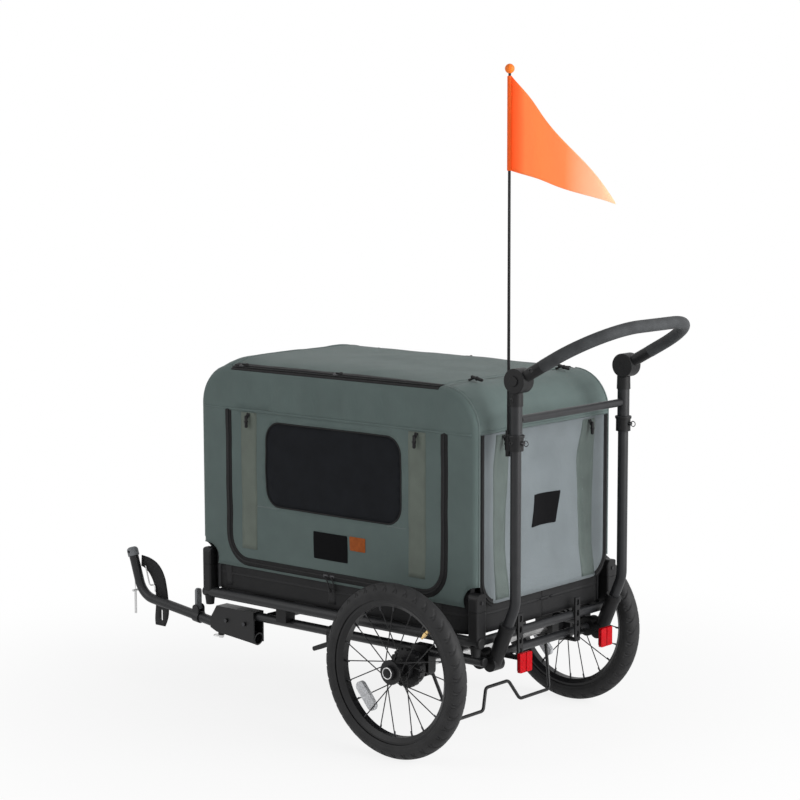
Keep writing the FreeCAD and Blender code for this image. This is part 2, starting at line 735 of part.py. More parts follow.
def rail_clamps():
    """Saddles that carry the floor frame on the chassis rails, and the frame lever's clamp."""
    saddles = []
    for x in (MOUNT_FRONT_X, MOUNT_REAR_X):
        low = V(x - MOUNT_HALF_LENGTH, -FLOOR_RAIL_Y - MOUNT_EDGE, RAIL_Z + RAIL_R - MOUNT_EDGE)
        high = V(x + MOUNT_HALF_LENGTH, -RAIL_Y + MOUNT_EDGE, FLOOR_RAIL_Z - FLOOR_RAIL_R + MOUNT_EDGE)
        saddle = box(low, high).cut(rail_rod(RAIL_R)).cut(floor_rail_rod())
        saddles += pair(saddle)
    centre = V(FRAME_LEVER_X, -RAIL_Y, RAIL_Z)
    half = X_DIR * FRAME_CLAMP_HALF
    clamp = rod(centre - half, centre + half, FRAME_CLAMP_R)
    ear_in = FRAME_LEVER_WIDTH / 2 + RUN_GAP
    pivot = centre - Z_DIR * FRAME_LEVER_DROP
    for side in (-1, 1):
        near = centre.y + side * ear_in
        far = near + side * FRAME_EAR
        low = V(centre.x - FRAME_CLAMP_R, min(near, far), pivot.z)
        high = V(centre.x + FRAME_CLAMP_R, max(near, far), centre.z)
        clamp = clamp.fuse(box(low, high))
        clamp = clamp.fuse(rod(V(pivot.x, near, pivot.z), V(pivot.x, far, pivot.z), FRAME_CLAMP_R))
    reach = Y_DIR * (ear_in + FRAME_EAR)
    clamp = clamp.cut(rail_rod(RAIL_R)).fuse(rod(pivot - reach, pivot + reach, FRAME_PIVOT_R))
    return saddles + [clamp]


def frame_lever():
    pivot = V(FRAME_LEVER_X, -RAIL_Y, RAIL_Z - FRAME_LEVER_DROP)
    half = FRAME_LEVER_THICK / 2
    width = FRAME_LEVER_WIDTH
    place = lambda a, u: pivot + V(-a, -width / 2, u)
    radius = half - SEAT_GAP
    body = rounded_plate((0, -half), (FRAME_LEVER_LENGTH, half), radius, radius, place, Y_DIR * width)
    inner = FRAME_LEVER_WALL
    channel_low = pivot + V(-FRAME_LEVER_LENGTH + half + inner, -width / 2 + inner, -half - OVERRUN)
    channel_high = pivot + V(-half - FRAME_PIVOT_R - inner, width / 2 - inner, half - inner)
    body = body.cut(box(channel_low, channel_high))
    eye = rod(pivot - Y_DIR * (width / 2), pivot + Y_DIR * (width / 2), FRAME_PIVOT_R + RUN_GAP + inner)
    body = body.fuse(eye)
    reach = Y_DIR * (width / 2 + OVERRUN)
    body = body.cut(rod(pivot - reach, pivot + reach, FRAME_PIVOT_R + RUN_GAP))
    body.rotate(pivot, Y_DIR, -FRAME_LEVER_DEG)
    return body


def corner_places():
    return [(x, side) for x in (CORNER_FRONT_X, CORNER_REAR_X) for side in (-1, 1)]


def corner_post():
    """Left rear corner post, open at the foot where it sits over the floor rail."""
    low = V(CORNER_REAR_X - CORNER_LENGTH / 2, -CORNER_Y - CORNER_WIDTH / 2, FLOOR_RAIL_Z)
    place = lambda a, u: V(a, u, FLOOR_RAIL_Z)
    height = Z_DIR * (CORNER_TOP_Z - FLOOR_RAIL_Z)
    high = (low.x + CORNER_LENGTH, low.y + CORNER_WIDTH)
    post = rounded_plate((low.x, low.y), high, CORNER_ROUND, CORNER_ROUND, place, height)
    bottom = FLOOR_RAIL_Z - OVERRUN - CORNER_TOP_ROUND
    rounded = rounded_plate(
        (low.y, bottom), (high[1], CORNER_TOP_Z), CORNER_TOP_ROUND - SEAT_GAP, CORNER_TOP_ROUND,
        lambda a, u: V(low.x - OVERRUN, a, u), X_DIR * (CORNER_LENGTH + 2 * OVERRUN))
    post = post.common(rounded).cut(floor_rail_rod())
    groove_low = V(low.x - OVERRUN, low.y - OVERRUN, CORNER_SPLIT_Z)
    groove_high = V(high[0] + OVERRUN, high[1] + OVERRUN, CORNER_SPLIT_Z + CORNER_SPLIT)
    core_low = V(low.x + CORNER_SPLIT, low.y + CORNER_SPLIT, FLOOR_RAIL_Z)
    core_high = V(high[0] - CORNER_SPLIT, high[1] - CORNER_SPLIT, CORNER_TOP_Z)
    post = post.cut(box(groove_low, groove_high).cut(box(core_low, core_high)))
    start = V(low.x - OVERRUN, -CORNER_Y, CORNER_PIN_Z)
    return post.cut(rod(start, start + X_DIR * (CORNER_LENGTH + 2 * OVERRUN), CORNER_PIN_R))


def corner_posts():
    """The four posts, with room in the rear ones for the end of the floor frame's rear tube."""
    reach = Y_DIR * FLOOR_RAIL_Y
    middle = V(FLOOR_CROSS_REAR_X, 0, FLOOR_RAIL_Z)
    room = rod(middle - reach, middle + reach, CROSS_R + SEAT_GAP)
    return [post.cut(room) for post in at_corners(corner_post())]


def corner_pin():
    half = CORNER_LENGTH / 2 + CORNER_PIN_PROUD
    start = V(CORNER_REAR_X - half, -CORNER_Y, CORNER_PIN_Z)
    return rod(start, start + X_DIR * (2 * half), CORNER_PIN_R)


def corner_foot():
    top = FLOOR_RAIL_Z - FLOOR_RAIL_R + FOOT_RISE
    low = V(CORNER_REAR_X, -FLOOR_RAIL_Y, FLOOR_RAIL_Z - FOOT_DROP)
    cone = Part.makeCone(FOOT_LOW_R, FOOT_TOP_R, top - low.z, low)
    return cone.cut(floor_rail_rod())


def at_corners(shape):
    """Copies of a left rear corner piece at all four corners."""
    copies = []
    for x, side in corner_places():
        copy = shape.copy() if side < 0 else mirrored(shape)
        copy.translate(V(x - CORNER_REAR_X, 0, 0))
        copies.append(copy)
    return copies


# Cabin

def tub_block(margin, low_z, high_z):
    low = (TUB_FRONT_X + margin, -TUB_HALF_WIDTH + margin)
    high = (TUB_REAR_X - margin, TUB_HALF_WIDTH - margin)
    radius = TUB_CORNER_R - margin
    return rounded_plate(low, high, radius, radius, lambda a, u: V(a, u, low_z), Z_DIR * (high_z - low_z))


def tub_floor_z():
    return FLOOR_RAIL_Z + FLOOR_RAIL_R + SEAT_GAP


def tub():
    outer = tub_block(0, tub_floor_z(), TUB_TOP_Z)
    return outer.cut(tub_block(TUB_WALL, tub_floor_z() + TUB_WALL, TUB_TOP_Z + OVERRUN))


def floor_board():
    low = tub_floor_z() + TUB_WALL + SEAT_GAP
    return tub_block(TUB_WALL + BOARD_MARGIN, low, low + BOARD_THICK)


def hoop():
    front = CORNER_FRONT_X + CORNER_LENGTH / 2 + SEAT_GAP + HOOP_R
    rear = CORNER_REAR_X - CORNER_LENGTH / 2 - SEAT_GAP - HOOP_R
    foot = tub_floor_z()
    corners = [(front, foot), (front, HOOP_TOP_Z), (rear, HOOP_TOP_Z), (rear, foot)]
    points = [V(x, -HOOP_Y, z) for x, z in corners]
    return swept(points, [HOOP_CORNER_R, HOOP_CORNER_R], HOOP_R, HOOP_R - HOOP_WALL)


def cabin_block(margin, half_width, low_z):
    """The cabin's side outline, drawn in by a margin, as a solid of the given half width."""
    low = (CABIN_FRONT_X + margin, low_z)
    high = (CABIN_REAR_X - margin, CABIN_TOP_Z - margin)
    place = lambda a, u: V(a, -half_width, u)
    return rounded_plate(low, high, CLOTH, CABIN_CORNER_R - margin, place, Y_DIR * (2 * half_width))


def post_cuts_sideways():
    cuts = []
    for x in (CORNER_FRONT_X, CORNER_REAR_X):
        reach = Y_DIR * (CABIN_HALF_WIDTH + OVERRUN)
        centre = V(x, 0, POST_CUT_Z)
        cuts.append(rod(centre - reach, centre + reach, POST_CUT_R))
    return cuts


def post_cuts_endways():
    cuts = []
    for side in (-1, 1):
        y = side * (CORNER_Y + POST_CUT_SHIFT)
        start = V(CABIN_FRONT_X - OVERRUN, y, POST_CUT_Z)
        cuts.append(rod(start, V(CABIN_REAR_X + OVERRUN, y, POST_CUT_Z), POST_CUT_R))
    return cuts


def cut_all(shape, tools):
    for tool in tools:
        shape = shape.cut(tool)
    return shape


def side_door_plate(margin, start_y, thickness):
    low = (SIDE_DOOR_FRONT_X + margin, SIDE_DOOR_BOTTOM_Z + margin)
    high = (SIDE_DOOR_REAR_X - margin, SEAM_Z - margin)
    place = lambda a, u: V(a, start_y, u)
    return rounded_plate(low, high, SIDE_DOOR_CORNER_R, DOOR_TOP_R, place, Y_DIR * thickness)


def window_plate(margin, start_y, thickness):
    low = (WINDOW_FRONT_X + margin, WINDOW_LOW_Z + margin)
    high = (WINDOW_REAR_X - margin, WINDOW_TOP_Z - margin)
    place = lambda a, u: V(a, start_y, u)
    return rounded_plate(low, high, WINDOW_CORNER_R, WINDOW_CORNER_R, place, Y_DIR * thickness)


def cover_side():
    """Left side panel, a frame round the door."""
    panel = cabin_block(0, CABIN_HALF_WIDTH, SIDE_BOTTOM_Z)
    low = V(CABIN_FRONT_X, -CABIN_HALF_WIDTH, SIDE_BOTTOM_Z)
    high = V(CABIN_REAR_X, -CABIN_HALF_WIDTH + CLOTH, CABIN_TOP_Z)
    panel = panel.common(box(low, high))
    panel = panel.cut(side_door_plate(0, -CABIN_HALF_WIDTH - OVERRUN, CLOTH + 2 * OVERRUN))
    return cut_all(panel, post_cuts_sideways())


def side_door():
    """Left roll-up door with its mesh window as a second solid."""
    start = -CABIN_HALF_WIDTH
    panel = side_door_plate(SEAT_GAP, start, CLOTH)
    panel = panel.cut(window_plate(0, start - OVERRUN, CLOTH + 2 * OVERRUN))
    mesh = window_plate(SEAT_GAP, start + (CLOTH - MESH_THICK) / 2, MESH_THICK)
    return [panel, mesh]


def cabin_band():
    half = CABIN_HALF_WIDTH - CLOTH - SEAT_GAP
    low = END_BOTTOM_Z
    outer = cabin_block(0, half, low)
    inner = cabin_block(CLOTH, half + OVERRUN, low - 2 * CLOTH - OVERRUN)
    return outer.cut(inner)


def band_end(sign):
    """Front (-1) or rear (1) end of the cover with its rounded top corner."""
    start = CABIN_FRONT_X if sign < 0 else CABIN_REAR_X - CABIN_CORNER_R
    low = V(start, -CABIN_HALF_WIDTH, END_BOTTOM_Z)
    high = V(start + CABIN_CORNER_R, CABIN_HALF_WIDTH, CABIN_TOP_Z)
    return cut_all(cabin_band().common(box(low, high)), post_cuts_endways())


def rear_door_plate(margin, start_x, thickness):
    low = (-REAR_DOOR_HALF_WIDTH + margin, END_BOTTOM_Z)
    high = (REAR_DOOR_HALF_WIDTH - margin, SEAM_Z - margin)
    place = lambda a, u: V(start_x, a, u)
    return rounded_plate(low, high, REAR_DOOR_CORNER_R, DOOR_TOP_R, place, X_DIR * thickness)


def cover_rear():
    opening = rear_door_plate(0, CABIN_REAR_X - CLOTH - OVERRUN, CLOTH + 2 * OVERRUN)
    return band_end(1).cut(opening)


def rear_door():
    plate = rear_door_plate(SEAT_GAP, CABIN_REAR_X - CLOTH, CLOTH)
    return cut_all(plate, post_cuts_endways())


def roof_section(x, half_width, crown):
    """Closed outline of the crowned roof cloth across the cabin."""
    low = CABIN_TOP_Z - CLOTH
    left = V(x, -half_width, low)
    right = V(x, half_width, low)
    lift = Z_DIR * CLOTH
    under = Part.Arc(left, V(x, 0, low + crown), right).toShape()
    over = Part.Arc(right + lift, V(x, 0, low + crown + CLOTH), left + lift).toShape()
    sides = [Part.LineSegment(right, right + lift).toShape(), Part.LineSegment(left + lift, left).toShape()]
    return Part.Wire([under, sides[0], over, sides[1]])


def roof_sheet():
    start = CABIN_FRONT_X + CABIN_CORNER_R + SEAT_GAP
    end = CABIN_REAR_X - CABIN_CORNER_R - SEAT_GAP
    half = CABIN_HALF_WIDTH - CLOTH - SEAT_GAP
    stations = [(start, CABIN_END_CROWN), ((start + end) / 2, CABIN_CROWN), (end, CABIN_END_CROWN)]
    return Part.makeLoft([roof_section(x, half, crown) for x, crown in stations], True, False)


def flap_block(margin):
    start = CABIN_FRONT_X + CABIN_CORNER_R + FLAP_FRONT_MARGIN + margin
    end = CABIN_REAR_X - CABIN_CORNER_R - FLAP_REAR_MARGIN - margin
    low = V(start, -FLAP_HALF_WIDTH + margin, CABIN_TOP_Z - CLOTH - OVERRUN)
    return box(low, V(end, FLAP_HALF_WIDTH - margin, CABIN_TOP_Z + CABIN_CROWN + OVERRUN))


def hold_down_strap():
    """Slotted strap from the floor frame's rear tube, hooked under the chassis rear tube."""
    front = FLOOR_CROSS_REAR_X + CROSS_R + SEAT_GAP
    hook_top = RAIL_Z - CROSS_R - SEAT_GAP
    hook_low = hook_top - HOLD_DOWN_HOOK
    back = front + HOLD_DOWN_THICK
    start_y = -HOLD_DOWN_Y - HOLD_DOWN_WIDTH / 2
    outline = [
        (front, HOLD_DOWN_TOP_Z), (back, HOLD_DOWN_TOP_Z), (back, hook_low),
        (REAR_CROSS_X, hook_low), (REAR_CROSS_X, hook_top), (front, hook_top),
    ]
    body = extruded([V(x, start_y, z) for x, z in outline], Y_DIR * HOLD_DOWN_WIDTH)
    pitch = (HOLD_DOWN_TOP_Z - hook_top) / HOLD_DOWN_SLOTS
    radius = HOLD_DOWN_SLOT_WIDTH / 2 - SEAT_GAP
    through = X_DIR * (HOLD_DOWN_THICK + 2 * OVERRUN)
    for index in range(HOLD_DOWN_SLOTS):
        middle = hook_top + pitch * (index + 0.5)
        low = (-HOLD_DOWN_Y - HOLD_DOWN_SLOT_WIDTH / 2, middle - HOLD_DOWN_SLOT_HEIGHT / 2)
        high = (low[0] + HOLD_DOWN_SLOT_WIDTH, low[1] + HOLD_DOWN_SLOT_HEIGHT)
        place = lambda a, u: V(front - OVERRUN, a, u)
        body = body.cut(rounded_plate(low, high, radius, radius, place, through))
    return body


def reflector_bracket():
    centre = V(REAR_CROSS_X, -REFLECTOR_Y, RAIL_Z)
    half = Y_DIR * (REFLECTOR_ARM_WIDTH / 2)
    bracket = rod(centre - half, centre + half, REFLECTOR_CLAMP_R)
    plate_x = REFLECTOR_X - REFLECTOR_THICK / 2 - REFLECTOR_PLATE
    low = centre - half - Z_DIR * (REFLECTOR_ARM_THICK / 2)
    high = V(plate_x, 0, RAIL_Z) + V(0, centre.y, 0) + half + Z_DIR * (REFLECTOR_ARM_THICK / 2)
    bracket = bracket.fuse(box(low, high))
    plate_half_width = REFLECTOR_WIDTH / 2 - REFLECTOR_PLATE_MARGIN
    plate_half_height = REFLECTOR_HEIGHT / 2 - REFLECTOR_PLATE_MARGIN
    plate_z = RAIL_Z - REFLECTOR_DROP
    plate_low = V(plate_x, centre.y - plate_half_width, plate_z - plate_half_height)
    plate_high = V(plate_x + REFLECTOR_PLATE, centre.y + plate_half_width, plate_z + plate_half_height)
    bracket = bracket.fuse(box(plate_low, plate_high))
    reach = Y_DIR * REFLECTOR_ARM_WIDTH
    return bracket.cut(rod(centre - reach, centre + reach, CROSS_R))


def rear_reflector():
    start = REFLECTOR_X - REFLECTOR_THICK / 2
    low = (-REFLECTOR_Y - REFLECTOR_WIDTH / 2, RAIL_Z - REFLECTOR_DROP - REFLECTOR_HEIGHT / 2)
    high = (low[0] + REFLECTOR_WIDTH, low[1] + REFLECTOR_HEIGHT)
    place = lambda a, u: V(start, a, u)
    lens = rounded_plate(low, high, REFLECTOR_ROUND, REFLECTOR_ROUND, place, X_DIR * REFLECTOR_THICK)
    groove = REFLECTOR_GROOVE
    groove_low = V(start + REFLECTOR_THICK - groove, -REFLECTOR_Y - groove, low[1] - OVERRUN)
    groove_high = V(start + REFLECTOR_THICK + OVERRUN, -REFLECTOR_Y + groove, high[1] + OVERRUN)
    return lens.cut(box(groove_low, groove_high))


# Push handle

def post_axis(z):
    """Point on the leaning foot of the left post at a height."""
    lean = math.tan(math.radians(POST_LEAN_DEG))
    return V(POST_X - (POST_BEND_Z - z) * lean, -POST_Y, z)


def handle_post():
    points = [post_axis(POST_FOOT_Z), post_axis(POST_BEND_Z), V(POST_X, -POST_Y, POST_TOP_Z)]
    post = swept(points, [POST_BEND_R], POST_R, POST_R - POST_WALL)
    low = HEIGHT_PIN_Z - HEIGHT_PIN_R - RUN_GAP
    high = HEIGHT_PIN_Z + HANDLE_TRAVEL + HEIGHT_PIN_R + RUN_GAP
    half = HEIGHT_PIN_R + RUN_GAP
    slot = box(V(POST_X, -POST_Y - half, low), V(POST_X + POST_R + OVERRUN, -POST_Y + half, high))
    return post.cut(slot)


def handle_socket():
    """Left casting: a barrel round the chassis rear tube and a leaning socket for the post."""
    barrel_centre = V(REAR_CROSS_X, -POST_Y, RAIL_Z)
    half = Y_DIR * SOCKET_HALF_WIDTH
    low = post_axis(SOCKET_LOW_Z)
    top = post_axis(SOCKET_TOP_Z)
    heading = (top - low).normalize()
    body = rod(barrel_centre - half, barrel_centre + half, SOCKET_BARREL_R)
    body = body.fuse(rod(low, top, SOCKET_R))
    body = body.fuse(rod(low - half, low + half, SOCKET_R))
    body = body.fuse(rod(top - heading * SOCKET_COLLAR_LENGTH, top, SOCKET_R + SOCKET_COLLAR_R))
    reach = Y_DIR * (SOCKET_HALF_WIDTH + OVERRUN)
    body = body.cut(rod(barrel_centre - reach, barrel_centre + reach, CROSS_R))
    return body.cut(rod(post_axis(POST_FOOT_Z), top + heading * OVERRUN, POST_R))


def upper_tube():
    start = V(POST_X, -POST_Y, UPPER_LOW_Z)
    bore = POST_R + RUN_GAP
    body = tube(start, V(POST_X, -POST_Y, UPPER_TOP_Z), UPPER_R, UPPER_R - bore)
    return body.cut(height_pin_bore())


def height_pin_bore():
    start = V(POST_X, -POST_Y, HEIGHT_PIN_Z)
    return rod(start, start + X_DIR * (COLLAR_R + OVERRUN), HEIGHT_PIN_R + RUN_GAP)


def handle_tubes():
    half = POST_Y - UPPER_R - SEAT_GAP
    cross = tube(
        V(POST_X, -half, HANDLE_CROSS_Z), V(POST_X, half, HANDLE_CROSS_Z), HANDLE_CROSS_R, POST_WALL)
    return pair(upper_tube()) + [cross]


def height_collar():
    bore = POST_R + RUN_GAP
    profile = [
        (COLLAR_LOW_Z, bore),
        (COLLAR_LOW_Z, COLLAR_R),
        (COLLAR_TOP_Z - COLLAR_LIP, COLLAR_R),
        (COLLAR_TOP_Z - COLLAR_LIP, COLLAR_LIP_R),
        (COLLAR_TOP_Z, COLLAR_LIP_R),
        (COLLAR_TOP_Z, UPPER_R),
        (UPPER_LOW_Z, UPPER_R),
        (UPPER_LOW_Z, bore),
    ]
    return revolved(profile, V(POST_X, -POST_Y, 0), Z_DIR).cut(height_pin_bore())


def height_pin():
    """Spring pin with a pull ring on the rear of the left collar."""
    start = V(POST_X + POST_R - HEIGHT_PIN_REACH, -POST_Y, HEIGHT_PIN_Z)
    face = V(POST_X + COLLAR_R + SEAT_GAP, -POST_Y, HEIGHT_PIN_Z)
    head_end = face + X_DIR * HEIGHT_PIN_HEAD
    pin = rod(start, head_end, HEIGHT_PIN_R).fuse(rod(face, head_end, HEIGHT_PIN_HEAD_R))
    ring_centre = head_end + X_DIR * (HEIGHT_RING_R - HEIGHT_RING_WIRE_R)
    return pin.fuse(Part.makeTorus(HEIGHT_RING_R, HEIGHT_RING_WIRE_R, ring_centre, Y_DIR))


def knuckle_centre():
    return V(KNUCKLE_X, -POST_Y, KNUCKLE_Z)


def arm_heading():
    angle = math.radians(ARM_DEG)
    return V(math.cos(angle), 0, math.sin(angle))


def knuckle_disc(inner, outer, radius):
    """Disc of the left knuckle between two distances from the post's plane, outward positive."""
    centre = knuckle_centre()
    return rod(centre + OUTWARD * inner, centre + OUTWARD * outer, radius)


def softened(disc, outer):
    """Round the outer rim of a knuckle disc."""
    face = knuckle_centre() + OUTWARD * outer
    edges = [edge for edge in disc.Edges
             if isinstance(edge.Curve, Part.Circle) and (edge.Curve.Center - face).Length < SEAT_GAP]
    return disc.makeFillet(KNUCKLE_ROUND, edges)


def knuckle_base():
    """Outer disc of the left tilt knuckle with its pivot, button pocket and the neck on the upper tube."""
    disc = softened(knuckle_disc(KNUCKLE_SPLIT, KNUCKLE_OUT, KNUCKLE_R), KNUCKLE_OUT)
    neck = Part.makeCone(NECK_LOW_R, NECK_TOP_R, NECK_LENGTH, V(POST_X, -POST_Y, NECK_LOW_Z))
    room = knuckle_disc(-KNUCKLE_IN - OVERRUN, KNUCKLE_SPLIT, KNUCKLE_R + RUN_GAP)
    base = disc.fuse(neck.cut(room))
    base = base.fuse(knuckle_disc(-KNUCKLE_IN, KNUCKLE_SPLIT, KNUCKLE_PIVOT_R))
    pocket_floor = KNUCKLE_OUT - TILT_BUTTON_DEPTH - TILT_BUTTON_TRAVEL - RUN_GAP
    base = base.cut(knuckle_disc(pocket_floor, KNUCKLE_OUT + OVERRUN, TILT_BUTTON_R + RUN_GAP))
    socket = rod(V(POST_X, -POST_Y, UPPER_LOW_Z), V(POST_X, -POST_Y, UPPER_TOP_Z), UPPER_R)
    return base.cut(socket)


def knuckle_arm():
    """Inner disc of the left tilt knuckle with the socket that holds the handlebar's end."""
    centre = knuckle_centre()
    heading = arm_heading()
    disc = softened(knuckle_disc(KNUCKLE_SPLIT - RUN_GAP, -KNUCKLE_IN, KNUCKLE_R), -KNUCKLE_IN)
    socket_end = centre + heading * ARM_SOCKET_END
    body = disc.fuse(rod(centre + heading * (KNUCKLE_R / 2), socket_end, ARM_SOCKET_R))
    body = body.cut(knuckle_disc(KNUCKLE_SPLIT - RUN_GAP, KNUCKLE_OUT + OVERRUN, KNUCKLE_R + RUN_GAP))
    body = body.cut(knuckle_disc(-KNUCKLE_IN - OVERRUN, KNUCKLE_OUT, KNUCKLE_PIVOT_R + RUN_GAP))
    bore_start = centre + heading * (ARM_SOCKET_START - SEAT_GAP)
    return body.cut(rod(bore_start, centre + heading * (ARM_SOCKET_END + OVERRUN), BAR_R + SEAT_GAP))


def tilt_button():
    start = KNUCKLE_OUT - TILT_BUTTON_DEPTH
    end = KNUCKLE_OUT + TILT_BUTTON_PROUD
    face = knuckle_centre() + OUTWARD * end
    button = knuckle_disc(start, end, TILT_BUTTON_R)
    edges = [edge for edge in button.Edges
             if isinstance(edge.Curve, Part.Circle) and (edge.Curve.Center - face).Length < SEAT_GAP]
    return button.makeFillet(TILT_BUTTON_ROUND, edges)


def bar_points(start):
    heading = arm_heading()
    left = knuckle_centre()
    right = V(left.x, -left.y, left.z)
    inset = heading * start
    reach = heading * BAR_REACH
    return [left + inset, left + reach, right + reach, right + inset]


def handlebar():
    bar = swept(bar_points(ARM_SOCKET_START), [BAR_CORNER_R, BAR_CORNER_R], BAR_R, BAR_R - BAR_WALL)
    return [bar] + pair(knuckle_arm())


def handle_grip():
    return swept(bar_points(GRIP_START), [BAR_CORNER_R, BAR_CORNER_R], GRIP_R, BAR_R + SEAT_GAP / 2)


# Flag

def flag_pole():
    pole = rod(V(FLAG_X, FLAG_Y, POLE_LOW_Z), V(FLAG_X, FLAG_Y, POLE_TOP_Z), POLE_R)
    ball = Part.makeSphere(BALL_R, V(FLAG_X, FLAG_Y, POLE_TOP_Z))
    return pole.fuse(ball)


def pennant_section(share, wave_share):
    x = FLAG_X + PENNANT_SLEEVE_R + SEAT_GAP + share * PENNANT_LENGTH
    y = FLAG_Y + wave_share * PENNANT_WAVE
    tip_top = PENNANT_TIP_Z + PENNANT_TIP_HEIGHT
    top = PENNANT_TOP_Z + (tip_top - PENNANT_TOP_Z) * share
    low = PENNANT_LOW_Z + (PENNANT_TIP_Z - PENNANT_LOW_Z) * share
    half = PENNANT_THICK / 2
    corners = [V(x, y - half, low), V(x, y + half, low), V(x, y + half, top), V(x, y - half, top)]
    return Part.makePolygon(corners + corners[:1])


def flag_pennant():
    stations = zip(PENNANT_STATION_SHARES, PENNANT_WAVE_SHARES)
    sheet = Part.makeLoft([pennant_section(share, wave) for share, wave in stations], True, False)
    low = V(FLAG_X, FLAG_Y, PENNANT_LOW_Z)
    high = V(FLAG_X, FLAG_Y, PENNANT_TOP_Z - BALL_R)
    return [sheet, tube(low, high, PENNANT_SLEEVE_R, PENNANT_SLEEVE_R - POLE_R - SEAT_GAP)]


def flag_holder(collar):
    """The left collar with the cup that holds the flag pole beside the post."""
    post = V(POST_X, -POST_Y, COLLAR_LOW_Z)
    pole = V(FLAG_X, FLAG_Y, COLLAR_LOW_Z)
    normal = Z_DIR.cross((pole - post).normalize()) * HOLDER_WALL
    rise = Z_DIR * (COLLAR_TOP_Z - COLLAR_LOW_Z)
    web = extruded([post - normal, pole - normal, pole + normal, post + normal], rise)
    web = web.cut(rod(post, post + rise, COLLAR_R - HOLDER_WALL / 2))
    cup_low = V(FLAG_X, FLAG_Y, POLE_LOW_Z - HOLDER_WALL)
    cup = rod(cup_low, V(FLAG_X, FLAG_Y, HOLDER_TOP_Z), POLE_R + HOLDER_WALL)
    pole_room = rod(V(FLAG_X, FLAG_Y, POLE_LOW_Z), V(FLAG_X, FLAG_Y, POLE_TOP_Z), POLE_R + SEAT_GAP)
    return collar.fuse(web).fuse(cup).cut(pole_room)


def post_collars():
    collar = height_collar()
    return [flag_holder(collar), mirrored(collar)]


# Tow arm

def arm_axis(x):
    rise = math.tan(math.radians(ARM_RISE_DEG))
    return V(x, ARM_Y, ARM_ENTRY_Z + (ARM_ENTRY_X - x) * rise)


def tip_heading():
    lean = math.radians(ARM_TIP_LEAN_DEG)
    return V(-math.sin(lean), 0, math.cos(lean))


def arm_tip():
    heading = tip_heading()
    return arm_axis(ARM_BEND_X) + heading * (ARM_TIP_RISE / heading.z)


def tow_clamp():
    centre = arm_axis(TOW_LEVER_X)
    along = (arm_axis(TOW_LEVER_X) - arm_axis(ARM_ENTRY_X)).normalize()
    body = rod(centre - along * TOW_CLAMP_HALF, centre + along * TOW_CLAMP_HALF, TOW_CLAMP_R)
    pivot = centre + Z_DIR * TOW_PIVOT_RISE
    ear_in = TOW_LEVER_WIDTH / 2 + RUN_GAP
    for side in (-1, 1):
        near = ARM_Y + side * ear_in
        far = near + side * TOW_EAR
        low = V(centre.x - TOW_CLAMP_HALF, min(near, far), centre.z)
        high = V(centre.x + TOW_CLAMP_HALF, max(near, far), pivot.z)
        body = body.fuse(box(low, high))
        body = body.fuse(rod(V(pivot.x, near, pivot.z), V(pivot.x, far, pivot.z), TOW_CLAMP_HALF))
    reach = Y_DIR * (ear_in + TOW_EAR)
    body = body.fuse(rod(pivot - reach, pivot + reach, TOW_PIVOT_R))
    return body.cut(rod(centre - along * TOW_CLAMP_R, centre + along * TOW_CLAMP_R, ARM_R + SEAT_GAP))


def tow_arm():
    points = [arm_axis(ARM_REAR_X), arm_axis(ARM_BEND_X), arm_tip()]
    return [swept(points, [ARM_BEND_R], ARM_R, ARM_R - ARM_WALL), tow_clamp()]


def tow_lever():
    pivot = arm_axis(TOW_LEVER_X) + Z_DIR * TOW_PIVOT_RISE
    half = TOW_LEVER_THICK / 2
    foot = TOW_PIVOT_R + RUN_GAP + half / 2
    low = (pivot.y - TOW_LEVER_WIDTH / 2, pivot.z)
    high = (pivot.y + TOW_LEVER_WIDTH / 2, pivot.z + TOW_LEVER_HEIGHT)
    place = lambda a, u: V(pivot.x - half, a, u)
    body = rounded_plate(low, high, half / 2, half * 2, place, X_DIR * TOW_LEVER_THICK)
    reach = Y_DIR * TOW_LEVER_WIDTH
    eye = rod(pivot - reach / 2, pivot + reach / 2, foot)
    return body.fuse(eye).cut(rod(pivot - reach, pivot + reach, TOW_PIVOT_R + RUN_GAP))


def hitch_cap():
    start = arm_tip()
    heading = tip_heading()
    end = start + heading * CAP_LENGTH
    cap = rod(start, end, CAP_R)
    edges = [edge for edge in cap.Edges
             if isinstance(edge.Curve, Part.Circle) and (edge.Curve.Center - end).Length < SEAT_GAP]
    cap = cap.makeFillet(CAP_ROUND, edges)
    bore = start + heading * (CAP_LENGTH / 2)
    reach = Y_DIR * (CAP_R + OVERRUN)
    return cap.cut(rod(bore - reach, bore + reach, HITCH_BORE_R))


def sleeve_rod(radius, start_x, end_x):
    return rod(arm_axis(start_x), arm_axis(end_x), radius)


